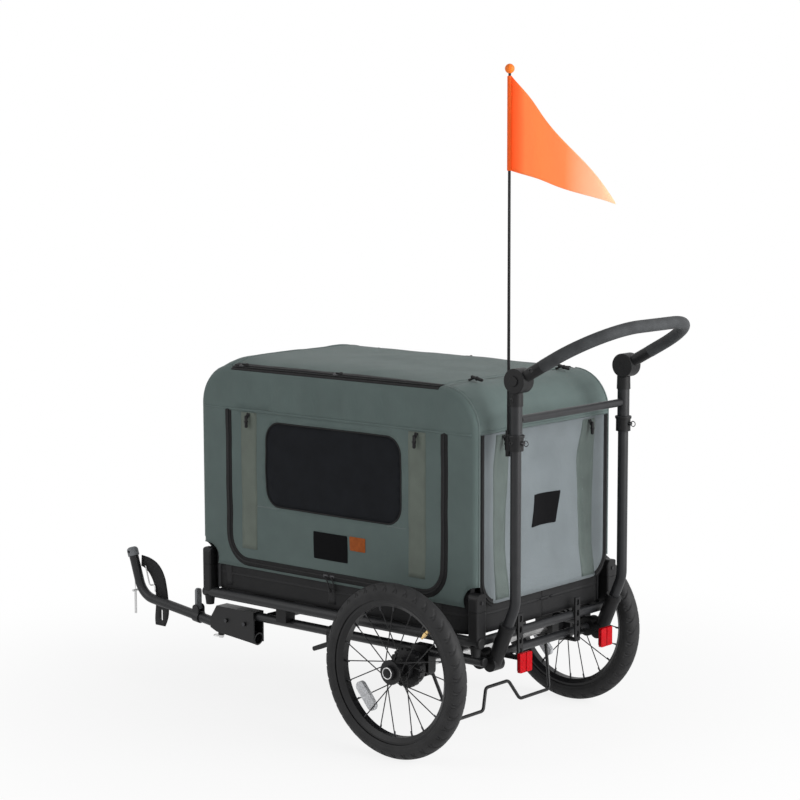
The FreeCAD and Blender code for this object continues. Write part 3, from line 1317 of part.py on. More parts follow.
def tow_bracket():
    """Two plates on the left rail with a saddle, the arm's sleeve and the lock pin's boss between them."""
    outline = [
        (BRACKET_FRONT_X + BRACKET_NOSE, BRACKET_TOP_Z), (BRACKET_REAR_X, BRACKET_TOP_Z),
        (BRACKET_REAR_X, BRACKET_LOW_Z), (BRACKET_FRONT_X + BRACKET_NOSE, BRACKET_LOW_Z + BRACKET_NOSE / 2),
        (BRACKET_FRONT_X, arm_axis(BRACKET_FRONT_X).z - SLEEVE_R / 2),
        (BRACKET_FRONT_X, arm_axis(BRACKET_FRONT_X).z + SLEEVE_R),
    ]
    body = sleeve_rod(SLEEVE_R, BRACKET_FRONT_X, BRACKET_REAR_X)
    for side in (-1, 1):
        near = ARM_Y + side * (SLEEVE_R - BRACKET_PLATE / 2)
        plate = extruded([V(x, near, z) for x, z in outline], Y_DIR * (side * BRACKET_PLATE))
        body = body.fuse(plate)
    saddle_low = V(BRACKET_FRONT_X + BRACKET_NOSE, ARM_Y - SLEEVE_R, SADDLE_LOW_Z)
    body = body.fuse(box(saddle_low, V(BRACKET_REAR_X, ARM_Y + SLEEVE_R, BRACKET_TOP_Z)))
    seat = arm_axis(LOCK_X)
    boss_low = seat - Z_DIR * (SLEEVE_R + LOCK_BOSS_DROP)
    body = body.fuse(rod(boss_low, seat, LOCK_BOSS_R))
    body = body.cut(rail_rod(RAIL_R))
    body = body.cut(rod(V(BRACKET_FRONT_X, ARM_Y, RAIL_Z), V(LEFT_RAIL_FRONT_X, ARM_Y, RAIL_Z), RAIL_R))
    body = body.cut(sleeve_rod(ARM_R + RUN_GAP, BRACKET_FRONT_X - OVERRUN, BRACKET_REAR_X + OVERRUN))
    for x in BOLT_PLACES_X:
        body = body.cut(bolt_shank(x))
    return body.cut(rod(boss_low - Z_DIR * OVERRUN, seat, LOCK_PIN_R + RUN_GAP))


def bolt_shank(x):
    reach = Y_DIR * (SLEEVE_R + BRACKET_PLATE / 2)
    middle = V(x, ARM_Y, BOLT_Z)
    return rod(middle - reach, middle + reach, BOLT_R)


def hex_head(centre, direction):
    """Hexagon head along Y whose inner face is at the centre."""
    corners = []
    for index in range(6):
        angle = math.radians(60 * index)
        corners.append(centre + V(math.cos(angle), 0, math.sin(angle)) * BOLT_HEAD_R)
    return extruded(corners, direction * BOLT_HEAD)


def frame_bolts():
    bolts = []
    for x in BOLT_PLACES_X:
        middle = V(x, ARM_Y, BOLT_Z)
        reach = Y_DIR * (SLEEVE_R + BRACKET_PLATE / 2)
        bolt = bolt_shank(x).fuse(hex_head(middle - reach, Y_DIR * -1)).fuse(hex_head(middle + reach, Y_DIR))
        bolts.append(bolt)
    return bolts + at_corners(corner_pin())


def tow_lock_pin():
    seat = arm_axis(LOCK_X)
    tip = seat - Z_DIR * (ARM_R + 2 * RUN_GAP)
    head_top = seat - Z_DIR * (SLEEVE_R + LOCK_BOSS_DROP + SEAT_GAP)
    head_low = head_top - Z_DIR * LOCK_HEAD
    pin = rod(head_low, tip, LOCK_PIN_R).fuse(rod(head_low, head_top, LOCK_HEAD_R))
    ring_centre = (head_low + head_top) / 2 - X_DIR * (LOCK_HEAD_R + LOCK_RING_R - LOCK_RING_WIRE_R)
    return pin.fuse(Part.makeTorus(LOCK_RING_R, LOCK_RING_WIRE_R, ring_centre, Z_DIR))


def strap_face_y():
    return ARM_Y + ARM_R + SEAT_GAP


def strap_point(shares, y):
    return V(STRAP_TOP_X + shares[0] * STRAP_REACH, y, STRAP_TOP_Z - shares[1] * STRAP_DROP)


def safety_strap():
    y = strap_face_y()
    top = strap_point((0, 0), y)
    outer_low = strap_point(STRAP_OUTER_LOW_SHARES, y)
    inner_low = strap_point(STRAP_INNER_LOW_SHARES, y)
    inner_top = strap_point(STRAP_INNER_TOP_SHARES, y)
    end_rear = strap_point(STRAP_END_REAR_SHARES, y)
    end_front = strap_point(STRAP_END_FRONT_SHARES, y)
    edges = [
        Part.Arc(top, strap_point(STRAP_OUTER_MID_SHARES, y), outer_low).toShape(),
        Part.LineSegment(outer_low, end_rear).toShape(),
        Part.LineSegment(end_rear, end_front).toShape(),
        Part.LineSegment(end_front, inner_low).toShape(),
        Part.Arc(inner_low, strap_point(STRAP_INNER_MID_SHARES, y), inner_top).toShape(),
        Part.LineSegment(inner_top, top).toShape(),
    ]
    return Part.Face(Part.Wire(edges)).extrude(Y_DIR * STRAP_THICK)


def snap_hook():
    y = strap_face_y() - HOOK_WIRE_R - SEAT_GAP
    points = [strap_point(shares, y) for shares in HOOK_POINT_SHARES]
    return swept(points, [HOOK_BEND_R] * (len(points) - 2), HOOK_WIRE_R)


def hitch_pin():
    """Locking pin with a cross head, hung from the arm's bend by a short wire."""
    top = V(ARM_BEND_X - PIN_AHEAD, ARM_Y, PIN_TOP_Z)
    pin = rod(top - Z_DIR * PIN_LENGTH, top, PIN_R)
    half = Y_DIR * (PIN_HEAD_LENGTH / 2)
    pin = pin.fuse(rod(top - half, top + half, PIN_HEAD_R))
    anchor = arm_axis(ARM_BEND_X) + tip_heading() * ARM_BEND_R
    sideways = V(-tip_heading().z, 0, tip_heading().x)
    surface = anchor + sideways * (ARM_R + SEAT_GAP)
    return pin.fuse(rod(top, surface, LANYARD_R))


# Nodes

def nodes():
    left_door = side_door()
    return {
        "chassis_tubes": chassis_tubes(),
        "floor_frame": floor_frame(),
        "rail_plugs": rail_plugs(),
        "rail_clamps": rail_clamps(),
        "axle": axle(),
        "axle_brackets": pair(axle_bracket()),
        "wheel_bearings": [shape for bearing in bearings() for shape in pair(bearing)],
        "handle_sockets": pair(handle_socket()),
        "handle_posts": pair(handle_post()),
        "tow_bracket": [tow_bracket()],
        "frame_bolts": frame_bolts(),
        "corner_posts": corner_posts(),
        "corner_feet": at_corners(corner_foot()),
        "floor_board": [floor_board()],
        "tub": [tub()],
        "hoop_left": [hoop()],
        "hoop_right": [mirrored(hoop())],
        "cover_left": [cover_side()],
        "cover_right": [mirrored(cover_side())],
        "cover_front": [band_end(-1)],
        "cover_rear": [cover_rear()],
        "cover_roof": [roof_sheet().cut(flap_block(0))],
        "hold_down_straps": pair(hold_down_strap()),
        "reflector_brackets": pair(reflector_bracket()),
        "rear_reflectors": pair(rear_reflector()),
        "left_tyre": [tyre()],
        "left_rim": [rim()],
        "left_spokes": spokes(),
        "left_hub": [hub()],
        "left_spoke_reflector": [wheel_reflector()],
        "right_tyre": [mirrored(tyre())],
        "right_rim": [mirrored(rim())],
        "right_spokes": [mirrored(spoke) for spoke in spokes()],
        "right_hub": [mirrored(hub())],
        "right_spoke_reflector": [mirrored(wheel_reflector())],
        "left_axle_button": [axle_button()],
        "right_axle_button": [mirrored(axle_button())],
        "brake_bar": [brake_bar()],
        "frame_lever": [frame_lever()],
        "handle_tubes": handle_tubes(),
        "post_collars": post_collars(),
        "knuckle_bases": pair(knuckle_base()),
        "left_height_pin": [height_pin()],
        "right_height_pin": [mirrored(height_pin())],
        "handlebar": handlebar(),
        "handle_grip": [handle_grip()],
        "left_tilt_button": [tilt_button()],
        "right_tilt_button": [mirrored(tilt_button())],
        "flag_pole": [flag_pole()],
        "flag_pennant": flag_pennant(),
        "tow_arm": tow_arm(),
        "hitch_cap": [hitch_cap()],
        "tow_lever": [tow_lever()],
        "tow_lock_pin": [tow_lock_pin()],
        "safety_strap": [safety_strap()],
        "hitch_hardware": [snap_hook(), hitch_pin()],
        "left_door": left_door,
        "right_door": [mirrored(shape) for shape in left_door],
        "rear_door": [rear_door()],
        "roof_flap": [roof_sheet().common(flap_block(SEAT_GAP))],
    }


def main():
    os.makedirs("parts", exist_ok=True)
    built = nodes()
    whole = Part.makeCompound([solid for solids in built.values() for solid in solids])
    bounds = whole.optimalBoundingBox(False, False)
    shift = V(-(bounds.XMin + bounds.XMax) / 2, 0, TYRE_R - AXLE_Z)
    for name, solids in built.items():
        shape = solids[0] if len(solids) == 1 else Part.makeCompound(solids)
        shape.translate(shift)
        shape.exportStep("parts/" + name + ".step")
    print("axle at x =", round(shift.x, 3), "box", bounds)


main()
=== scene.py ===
import math

import bmesh
import bpy
from mathutils import Matrix, Vector, geometry, noise


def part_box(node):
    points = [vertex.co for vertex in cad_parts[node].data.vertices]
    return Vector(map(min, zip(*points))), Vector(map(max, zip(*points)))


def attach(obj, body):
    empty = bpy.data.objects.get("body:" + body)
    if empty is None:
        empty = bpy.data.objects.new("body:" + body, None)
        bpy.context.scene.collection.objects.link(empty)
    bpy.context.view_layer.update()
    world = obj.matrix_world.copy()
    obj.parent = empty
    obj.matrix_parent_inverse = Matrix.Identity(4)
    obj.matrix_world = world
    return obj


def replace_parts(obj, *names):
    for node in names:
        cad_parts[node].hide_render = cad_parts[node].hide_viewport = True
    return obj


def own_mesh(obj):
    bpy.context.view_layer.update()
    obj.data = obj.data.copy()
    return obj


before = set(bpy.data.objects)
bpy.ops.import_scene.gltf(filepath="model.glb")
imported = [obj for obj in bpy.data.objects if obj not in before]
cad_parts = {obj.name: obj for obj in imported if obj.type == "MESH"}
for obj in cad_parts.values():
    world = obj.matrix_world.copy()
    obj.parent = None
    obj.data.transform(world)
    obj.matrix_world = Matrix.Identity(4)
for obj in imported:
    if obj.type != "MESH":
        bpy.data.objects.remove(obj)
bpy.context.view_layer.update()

# Dog bike trailer: cloth cabin, trim, wheels' details, materials, light and camera.
# All lengths are in metres. Places are counted from the wheel axle along X, from the middle along Y and from
# the ground along Z; left is the side towards the camera, at negative Y.

AXLE_X = sum(corner.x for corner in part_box("axle")) / 2
LEFT = -1
RIGHT = 1
SIDES = ((LEFT, "left"), (RIGHT, "right"))
FULL_TURN = 2 * math.pi
QUARTER_TURN = math.pi / 2
UPWARD = Vector((0, 0, 1))
ARC_STEPS = 8
SHARP_DEG = 35.0

# Camera
CAMERA_PLACE = (2.97632, -3.80221, 1.38233)
CAMERA_AZIMUTH_DEG = 40.47
CAMERA_ELEVATION_DEG = 7.15
CAMERA_ROLL_DEG = 0.16
CAMERA_SENSOR = 36.0
CAMERA_LENS = 94.47

# Lamps, each with its place, size and power
LAMPS = {
    "key": ((3.9, 0.7, 1.9), 3.4, 226.0),
    "fill": ((-2.2, -4.2, 2.6), 3.0, 66.0),
    "top": ((-1.4, -0.9, 4.4), 3.4, 4.0),
}
AIM_HEIGHT = 0.55

# World and floor
WORLD_STRENGTH = 0.28
FLOOR_SIZE = 60.0
FLOOR_COLOUR = (0.92, 0.92, 0.92)
FLOOR_ROUGHNESS = 0.9
FLOOR_SHINE = 0.1
FLOOR_GLOW_SHARE = 0.84
FLOOR_NEAR = 0.5
FLOOR_FAR = 1.7

# Finishes with a grain, and the depth of the relief on the others
POWDER = dict(shine=0.30, mottle=(0.14, 45), uneven=(0.08, 25), grain=(850, 2), depth=0.00012, strength=0.5)
PLASTIC = dict(shine=0.22, mottle=(0.12, 70), uneven=(0.1, 40), grain=(1400, 3), depth=0.0001, strength=0.45)
RUBBER = dict(shine=0.22, mottle=(0.22, 35), uneven=(0.1, 20), grain=(500, 6), depth=0.00018, strength=0.5)
MOTTLE_SPAN_SHARES = (0.3, 0.7)
LEAST_ROUGHNESS = 0.02
WEAVE_STRENGTH = 0.6
BRUSHED_COLOUR = (1, 1, 8)
BRUSHED_GRAIN = (1, 1, 12)
METAL_DEPTH = 0.00004
WRINKLE_DEPTH = 0.0016
CLOTH_DEPTH = 0.00022
RIB_DEPTH = 0.0003
WEBBING_DEPTH = 0.0002
ZIP_DEPTH = 0.0003
NYLON_DEPTH = 0.0001
LENS_DEPTH = 0.001
NET_DEPTH = 0.0008
LEATHER_DEPTH = 0.00025
NYLON_GLOW_SHARE = 0.45

# Cabin cover
FRONT = -0.687
REAR = 0.168
TOP = 0.836
HALF = 0.256
CORNER = 0.095
CORNER_STEPS = 10
EDGE = 0.012
EDGE_ROW_SHARES = (0.13, 0.5, 1.0)
STRAIGHT = TOP - CORNER
CORNER_ARC = CORNER * QUARTER_TURN
CROWN = 0.018
FRONT_CROWN = 0.021
REAR_CROWN = 0.005
CROWN_POWER = 7
SIDE_HEM = 0.350
END_HEM = 0.352
CLOTH = 0.0022
WEAVE_STEP = 0.014
NEAR_SHARE = 0.55
MERGE_DISTANCE = 1e-7
STRIP_AREA_SHARE = 0.3
POST_CUT = 0.034
POST_CUT_Z = 0.364
POST_CUT_Y = 0.258
POST_FRONT = -0.6655
POST_REAR = 0.167
DRAPE = 0.0028
DRAPE_LENGTH = 0.11
FINE_DRAPE_SCALE = 2.3
END_SEED = 5
ROOF_SEED = 9
CALM_EDGE = 0.036
FOLD = 0.0240
FOLD_WIDTH = 0.090
FOLD_LENGTH = 0.24
FOLD_SLANT_SHARE = 0.25
PLEAT = 0.0034
PLEAT_LENGTH = 0.072
PLEAT_WANDER = 2
SEAM_Z = 0.735
SEAM_WIDTH = 0.007
SEAM_LIFT = 0.0012
SEAM_SHARES = (0, 0.8, 1, 0.8, 0)

# Doors and windows
DOOR_FRONT = -0.592
DOOR_REAR = 0.079
DOOR_BOTTOM = 0.366
DOOR_CORNER = 0.062
DOOR_TOP_CORNER = 0.004
WINDOW_FRONT = -0.468
WINDOW_REAR = -0.047
WINDOW_LOW = 0.511
WINDOW_TOP = 0.712
WINDOW_CORNER = 0.042
WINDOW_SINK = 0.001
WINDOW_BINDING = 0.0042
WINDOW_SEAM_Z = 0.506
REAR_DOOR_HALF = 0.238
REAR_DOOR_CORNER = 0.058
REAR_ZIP_TURN_DEG = 70.0
FLAP_FRONT = -0.583
FLAP_REAR = 0.061
FLAP_HALF = 0.240
DOOR_GAP = 0.0008

# Trim on the cloth
ZIP_WIDTH = 0.020
ZIP_LIFT = 0.0022
REAR_ZIP_Y = 0.2355
REAR_ZIP_WIDTH = 0.017
ZIP_COIL = 0.0020
ZIP_STEP = 0.012
TAPE_SHARES = (0.3, 1, 1, 1, 0.3)
ROOF_TAPE_WIDTH = 0.007
STRIPE_WIDTH = 0.050
STRIPE_LIFT = 0.0007
STRIPE_SHARES = (0.2, 1, 1, 1, 1, 1, 0.2)
SIDE_STRIPES = (-0.525, 0.0)
REAR_STRIPES = (-0.160, 0.168)
STRIPE_TOP = 0.737
STRIPE_LOW = 0.399
TOGGLE_LENGTH = 0.030
TOGGLE_RADIUS = 0.0055
TOGGLE_DROP = 0.013
TOGGLE_SHARES = ((0, 0.42), (0.06, 0.7), (0.4, 0.7), (0.5, 1), (0.6, 0.7), (0.94, 0.7), (1, 0.42))
LOOP_RADIUS = 0.0022
LABEL_LOW = (-0.315, 0.404)
LABEL_HIGH = (-0.210, 0.468)
PATCH_LOW = (-0.202, 0.436)
PATCH_HIGH = (-0.154, 0.469)
REAR_LABEL_LOW = (-0.033, 0.501)
REAR_LABEL_HIGH = (0.059, 0.574)
REAR_LABEL_SKEW_SHARE = 0.17
LABEL_LIFT = 0.0014
LABEL_CORNER = 0.002
PULL_LENGTH = 0.014
PULL_WIDTH = 0.009
PULL_SPACING = 0.021
PULL_HANG = 0.026
PULL_ROUTE_SHARES = ((0, 0), (0.4, 0.25), (0.75, 0.2), (1, 0))
SLIDER_SHARES = (0.5, 1, 1, 1, 0.5)
KNOB_END_SHARE = 1.4
KNOB_RADIUS = 0.0032
KNOB_SHARES = ((0, 0.5), (0.12, 1), (0.88, 1), (1, 0.5))
CORD_RADIUS = 0.0016
PIPING_RADIUS = 0.0021
TAB_WIDTH = 0.024
TAB_LOW = 0.300
TAB_PLACES = (-0.600, -0.262, 0.060)

# Tub
TUB_FRONT = -0.659
TUB_REAR = 0.157
TUB_HALF = 0.2525
TUB_CORNER = 0.050
TUB_LOW = 0.2872
TUB_TOP = 0.386
TUB_BULGE = 0.00045
TUB_DRAPE_SHARE = 0.3
TUB_SEED = 3
TUB_SEAM_Z = 0.330
TUB_HEM_Z = 0.372

# Wheels
WHEEL_Y = 0.3334
AXLE_Z = 0.1995
TYRE_RING = 0.1765
TYRE_SECTION = 0.0230
TYRE_BEAD = 0.1638
TYRE_STEPS = 1200
TYRE_SECTION_STEPS = 44
TREAD_LEAVES = 40
TREAD_DEPTH = 0.0020
TREAD_START_SHARE = 0.12
TREAD_END_SHARE = 0.82
TREAD_FADE_SHARE = 0.12
TREAD_LINE_SHARE = 0.085
TREAD_BEND_SHARE = 0.22
TREAD_SLANT_SHARE = 0.75
TREAD_BRANCH_SHARE = 0.35
TREAD_BRANCH_SLANT_SHARE = 0.55
BEAD_LINE_SHARE = 0.86
BEAD_LINE_WIDTH_SHARE = 0.02
BEAD_LINE_DEPTH = 0.0009
CAP_RING_RADIUS = 0.0125
CAP_RING_WIRE = 0.0013
CAP_FACE = 0.0276
VALVE_ANGLE_DEG = 48.0
VALVE_LENGTH = 0.032
VALVE_RADIUS = 0.0035
VALVE_SHARES = ((0.35, 1), (0.38, 1.4), (0.7, 1.4), (0.73, 1), (1, 0.8))
RIM_INNER = 0.148
NIPPLE_LENGTH = 0.011
NIPPLE_RADIUS = 0.0022
NIPPLE_SHARES = ((0, 1), (0.8, 1), (1, 0.7))
SPOKES = 20
RIM_SPOKE_OFFSET = 0.003
SPOKE_STEP = 0.0017

# Flag
FLAG_X = 0.212
FLAG_Y = -0.198
POLE_RADIUS = 0.0035
POLE_RADIUS_SHARES = (0.9, 1, 0.85, 0.8)
POLE_LOW = 0.692
POLE_TOP = 1.526
BALL_RADIUS = 0.0105
BALL_TIP_RADIUS = POLE_RADIUS / 9
BALL_STEPS = 14
PENNANT_TOP = 1.521
PENNANT_LOW = 1.309
PENNANT_LENGTH = 0.268
PENNANT_TIP_Z = 1.242
PENNANT_TIP_HEIGHT = 0.010
PENNANT_WAVE = 0.009
PENNANT_WAVES = 1.35
PENNANT_WAVE_SLANT = 1.1
PENNANT_CALM_SHARE = 0.3
PENNANT_CLOTH = CLOTH / 5
PENNANT_STEPS = 40
SLEEVE_RADIUS = 0.0052
SLEEVE_HEM = PENNANT_LENGTH / 90
SLEEVE_HEM_SHARE = 0.92
SLEEVE_OVERLAP_SHARE = 0.9

# Handle trim
POST_X = 0.238
POST_Y = 0.205
NECK_SCREW_Z = 0.816
NECK_RADIUS = 0.0156
COLLAR_SCREW_Z = 0.722
COLLAR_RADIUS = 0.017
KNUCKLE_X = 0.245
KNUCKLE_Y = 0.2177
KNUCKLE_Z = 0.858
ARM_DEG = 29.0
ARM_SCREW_REACH = 0.058
ARM_RADIUS = 0.0136
SCREW_RADIUS = 0.0046
SCREW_HEIGHT = 0.0022
SCREW_SHARES = ((-1, 1), (0.5, 1), (1, 0.75), (1, 0.45), (0.3, 0.4))
COLLAR_RING_Z = 0.7375
COLLAR_RING_RADIUS = 0.0180
COLLAR_RING_WIRE = 0.0014

# Safety strap beside the hitch
STRAP_Y = -0.2212
STRAP_TOP_X = -0.948
STRAP_TOP_Z = 0.324
STRAP_REACH = 0.096
STRAP_DROP = 0.174
STRAP_CLOTH = 0.0026
STRAP_OUTER_SHARES = (
    (0, 0), (0.34, 0.02), (0.64, 0.09), (0.86, 0.24),
    (0.95, 0.44), (1.0, 0.66), (1.0, 0.84), (0.86, 1.0),
)
STRAP_INNER_SHARES = (
    (0.5, 1.0), (0.48, 0.9), (0.52, 0.74), (0.54, 0.58), (0.5, 0.44),
    (0.42, 0.34), (0.3, 0.25), (0.14, 0.185), (-0.02, 0.16),
)
STRAP_CUT_SHARES = (0.25, 0.75)
STRAP_SLOT_LOW_SHARES = (0.715, 0.92)
STRAP_SLOT_HIGH_SHARES = (0.775, 0.76)
STRAP_SLOT_CORNER = 0.002


# Small helpers

def at(x, y, z):
    """Point counted from the axle, in the shared frame."""
    return Vector((AXLE_X + x, y, z))


def smooth_step(low, high, value):
    share = min(1, max(0, (value - low) / (high - low)))
    return share * share * (3 - 2 * share)


def scaled(shares, length, width):
    """Points given as shares of a length and a width."""
    return [(along * length, across * width) for along, across in shares]


def between(start, end, share):
    return (start[0] + (end[0] - start[0]) * share, start[1] + (end[1] - start[1]) * share)


def arc(middle, radius, start, end, count):
    """Points on a circle from one angle to another."""
    angles = [start + (end - start) * index / count for index in range(count + 1)]
    return [(middle[0] + radius * math.cos(angle), middle[1] + radius * math.sin(angle)) for angle in angles]


def circle(radius, steps):
    return arc((0, 0), radius, 0, FULL_TURN, steps)[:-1]


def rectangle(low, high):
    return [low, (high[0], low[1]), high, (low[0], high[1])]


def rounded_rectangle(low, high, low_corner, top_corner, step):
    """Closed loop of a rounded rectangle with points about a step apart."""
    corners = [
        (low[0] + low_corner, low[1] + low_corner, low_corner),
        (high[0] - low_corner, low[1] + low_corner, low_corner),
        (high[0] - top_corner, high[1] - top_corner, top_corner),
        (low[0] + top_corner, high[1] - top_corner, top_corner),
    ]
    loop = []
    for index, (across, up, radius) in enumerate(corners):
        start = (index + 2) * QUARTER_TURN
        count = max(2, round(radius * QUARTER_TURN / step))
        loop += arc((across, up), radius, start, start + QUARTER_TURN, count)
    return divided(loop, step, True)


def divided(loop, step, closed):
    """The same line with points added so that none are further apart than a step."""
    result = []
    ends = loop[1:] + loop[:1] if closed else loop[1:]
    for start, end in zip(loop, ends):
        count = max(1, math.ceil(math.dist(start, end) / step))
        result += [between(start, end, index / count) for index in range(count)]
    return result if closed else result + loop[-1:]


def straight(start, end, step=ZIP_STEP):
    return divided([start, end], step, False)


def softened(line, rounds=2):
    """The same open line with its corners cut off, a few times over."""
    for _ in range(rounds):
        cut = [line[0]]
        for start, end in zip(line, line[1:]):
            cut += [between(start, end, share) for share in STRAP_CUT_SHARES]
        line = cut + [line[-1]]
    return line


def inside(point, loop):
    across, up = point
    found = False
    for (a0, u0), (a1, u1) in zip(loop, loop[1:] + loop[:1]):
        if (u0 > up) != (u1 > up) and across < a0 + (up - u0) / (u1 - u0) * (a1 - a0):
            found = not found
    return found


def on_panel(point, outline, holes):
    return inside(point, outline) and not any(inside(point, hole) for hole in holes)


def add_object(name, mesh, surface, body):
    piece = bpy.data.objects.new(name, mesh)
    bpy.context.scene.collection.objects.link(piece)
    mesh.materials.append(SURFACES[surface])
    mesh.polygons.foreach_set("use_smooth", [True] * len(mesh.polygons))
    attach(piece, body)
    return piece


def mesh_piece(name, points, faces, surface, body):
    mesh = bpy.data.meshes.new(name)
    mesh.from_pydata(points, [], faces)
    mesh.update()
    return add_object(name, mesh, surface, body)


def grid_faces(rows, columns, rows_closed=False, columns_closed=False):
    """Faces between the points of a grid that is given row by row."""
    faces = []
    for row in range(rows if rows_closed else rows - 1):
        start = row * columns
        after = (row + 1) % rows * columns
        for column in range(columns if columns_closed else columns - 1):
            beside = (column + 1) % columns
            faces.append((start + column, start + beside, after + beside, after + column))
    return faces


def apply_modifiers(piece):
    graph = bpy.context.evaluated_depsgraph_get()
    made = bpy.data.meshes.new_from_object(piece.evaluated_get(graph))
    piece.modifiers.clear()
    piece.data = made
    return piece


def thicken(piece, thickness):
    solid = piece.modifiers.new("thickness", "SOLIDIFY")
    solid.thickness = thickness
    solid.offset = -1
    return apply_modifiers(piece)


def bevelled(piece, width):
    bevel = piece.modifiers.new("bevel", "BEVEL")
    bevel.width = width
    bevel.segments = 2
    bevel.limit_method = "ANGLE"
    return apply_modifiers(piece)


def recalculated(piece):
    """The piece with all its faces turned outwards."""
    made = bmesh.new()
    made.from_mesh(piece.data)
    bmesh.ops.recalc_face_normals(made, faces=made.faces)
    made.to_mesh(piece.data)
    made.free()
    return piece


def flat_panel(outline, holes, step, rows):
    """Points and triangles of a flat panel with holes, with points all over it, and in rows of their own."""
    points = []
    edges = []
    for loop in [outline] + holes:
        start = len(points)
        points += loop
        edges += [(start + index, start + (index + 1) % len(loop)) for index in range(len(loop))]
    points += rows
    border = list(points)
    low = [min(point[axis] for point in outline) for axis in (0, 1)]
    high = [max(point[axis] for point in outline) for axis in (0, 1)]
    for row in range(int((high[1] - low[1]) / step) + 1):
        for column in range(int((high[0] - low[0]) / step) + 1):
            point = (low[0] + (column + row % 2 / 2) * step, low[1] + row * step)
            if not on_panel(point, outline, holes):
                continue
            if min(abs(point[0] - b[0]) + abs(point[1] - b[1]) for b in border) > step * NEAR_SHARE:
                points.append(point)
    made = geometry.delaunay_2d_cdt([Vector(point) for point in points], edges, [], 0, MERGE_DISTANCE)
    corners = [tuple(point) for point in made[0]]
    faces = []
    for face in made[2]:
        middle = [sum(corners[index][axis] for index in face) / len(face) for axis in (0, 1)]
        if on_panel(middle, outline, holes):
            faces.append(face)
    return corners, faces


def flat_area(corners, faces):
    return sum(geometry.area_tri(*[Vector((*corners[index], 0)) for index in face]) for face in faces)


def outward_faces(corners, faces, place):
    """The faces, turned so that they look the way that lift goes."""
    first = [corners[index] for index in faces[0]]
    points = [place(*corner) for corner in first]
    normal = (points[1] - points[0]).cross(points[2] - points[0])
    lifted = place(*first[0], lift=EDGE) - points[0]
    if normal.dot(lifted) < 0:
        return [tuple(reversed(face)) for face in faces]
    return faces


def laid_panel(name, outline, holes, place, surface, body, lift, step, rows=()):
    """A panel laid on a surface, with the area of its cut."""
    corners, faces = flat_panel(outline, holes, step, rows)
    faces = outward_faces(corners, faces, place)
    points = [place(*corner, lift=lift) for corner in corners]
    return mesh_piece(name, points, faces, surface, body), flat_area(corners, faces)


def cloth_panel(name, outline, holes, place, surface, body, thickness=CLOTH,
                lift=0.0, step=WEAVE_STEP, rows=()):
    """A panel of cloth, laid on a surface and thickened."""
    piece, area = laid_panel(name, outline, holes, place, surface, body, lift, step, rows)
    thicken(piece, thickness)
    width = max(point[0] for point in outline) - min(point[0] for point in outline)
    height = max(point[1] for point in outline) - min(point[1] for point in outline)
    if area < STRIP_AREA_SHARE * width * height:
        height = area / width
    min(area, width * height)
    return piece


def line_normals(line, closed):
    normals = []
    last = len(line) - 1
    for index in range(len(line)):
        before = line[index - 1] if index or closed else line[0]
        after = line[(index + 1) % len(line)] if index < last or closed else line[last]
        across, up = after[0] - before[0], after[1] - before[1]
        length = math.hypot(across, up)
        normals.append((-up / length, across / length))
    return normals


def ribbon(name, line, width, place, lift, surface, body="frame", closed=False, profile=SEAM_SHARES):
    """Tape along a line on a surface, with its cross-section given as shares of its lift."""
    points = []
    count = len(profile)
    for (across, up), normal in zip(line, line_normals(line, closed)):
        for index, share in enumerate(profile):
            offset = (index / (count - 1) - 0.5) * width
            points.append(place(across + normal[0] * offset, up + normal[1] * offset, lift=lift * share))
    faces = grid_faces(len(line), count, rows_closed=closed)
    return thicken(recalculated(mesh_piece(name, points, faces, surface, body)), lift)


def tube(name, points, radius, surface, body="frame", closed=False, smooth=False):
    """Round bar along points, as a mesh."""
    curve = bpy.data.curves.new(name, "CURVE")
    curve.dimensions = "3D"
    curve.bevel_depth = radius
    curve.bevel_resolution = 4
    curve.use_fill_caps = True
    spline = curve.splines.new("NURBS" if smooth else "POLY")
    spline.points.add(len(points) - 1)
    for target, point in zip(spline.points, points):
        target.co = (*point, 1)
    if smooth:
        spline.order_u = 3
        spline.use_endpoint_u = not closed
    spline.use_cyclic_u = closed
    holder = bpy.data.objects.new(name, curve)
    mesh = bpy.data.meshes.new_from_object(holder)
    mesh.name = name
    bpy.data.objects.remove(holder)
    return add_object(name, mesh, surface, body)


def lathe(name, profile, start, direction, surface, body="frame", steps=40):
    """Turn a list of (place along, radius) points about an axis."""
    turn = direction.to_track_quat("Z", "Y")
    points = []
    for along, radius in profile:
        points += [start + turn @ Vector((*point, along)) for point in circle(radius, steps)]
    faces = grid_faces(len(profile), steps, columns_closed=True)
    faces.append(tuple(reversed(range(steps))))
    faces.append(tuple(range((len(profile) - 1) * steps, len(profile) * steps)))
    piece = mesh_piece(name, points, faces, surface, body)
    piece.data.set_sharp_from_angle(angle=math.radians(SHARP_DEG))
    return piece


def ring(name, centre, direction, radius, wire, surface, body, steps=48):
    turn = direction.to_track_quat("Z", "Y")
    points = [centre + turn @ Vector((*point, 0)) for point in circle(radius, steps)]
    return tube(name, points, wire, surface, body, closed=True)


# Materials

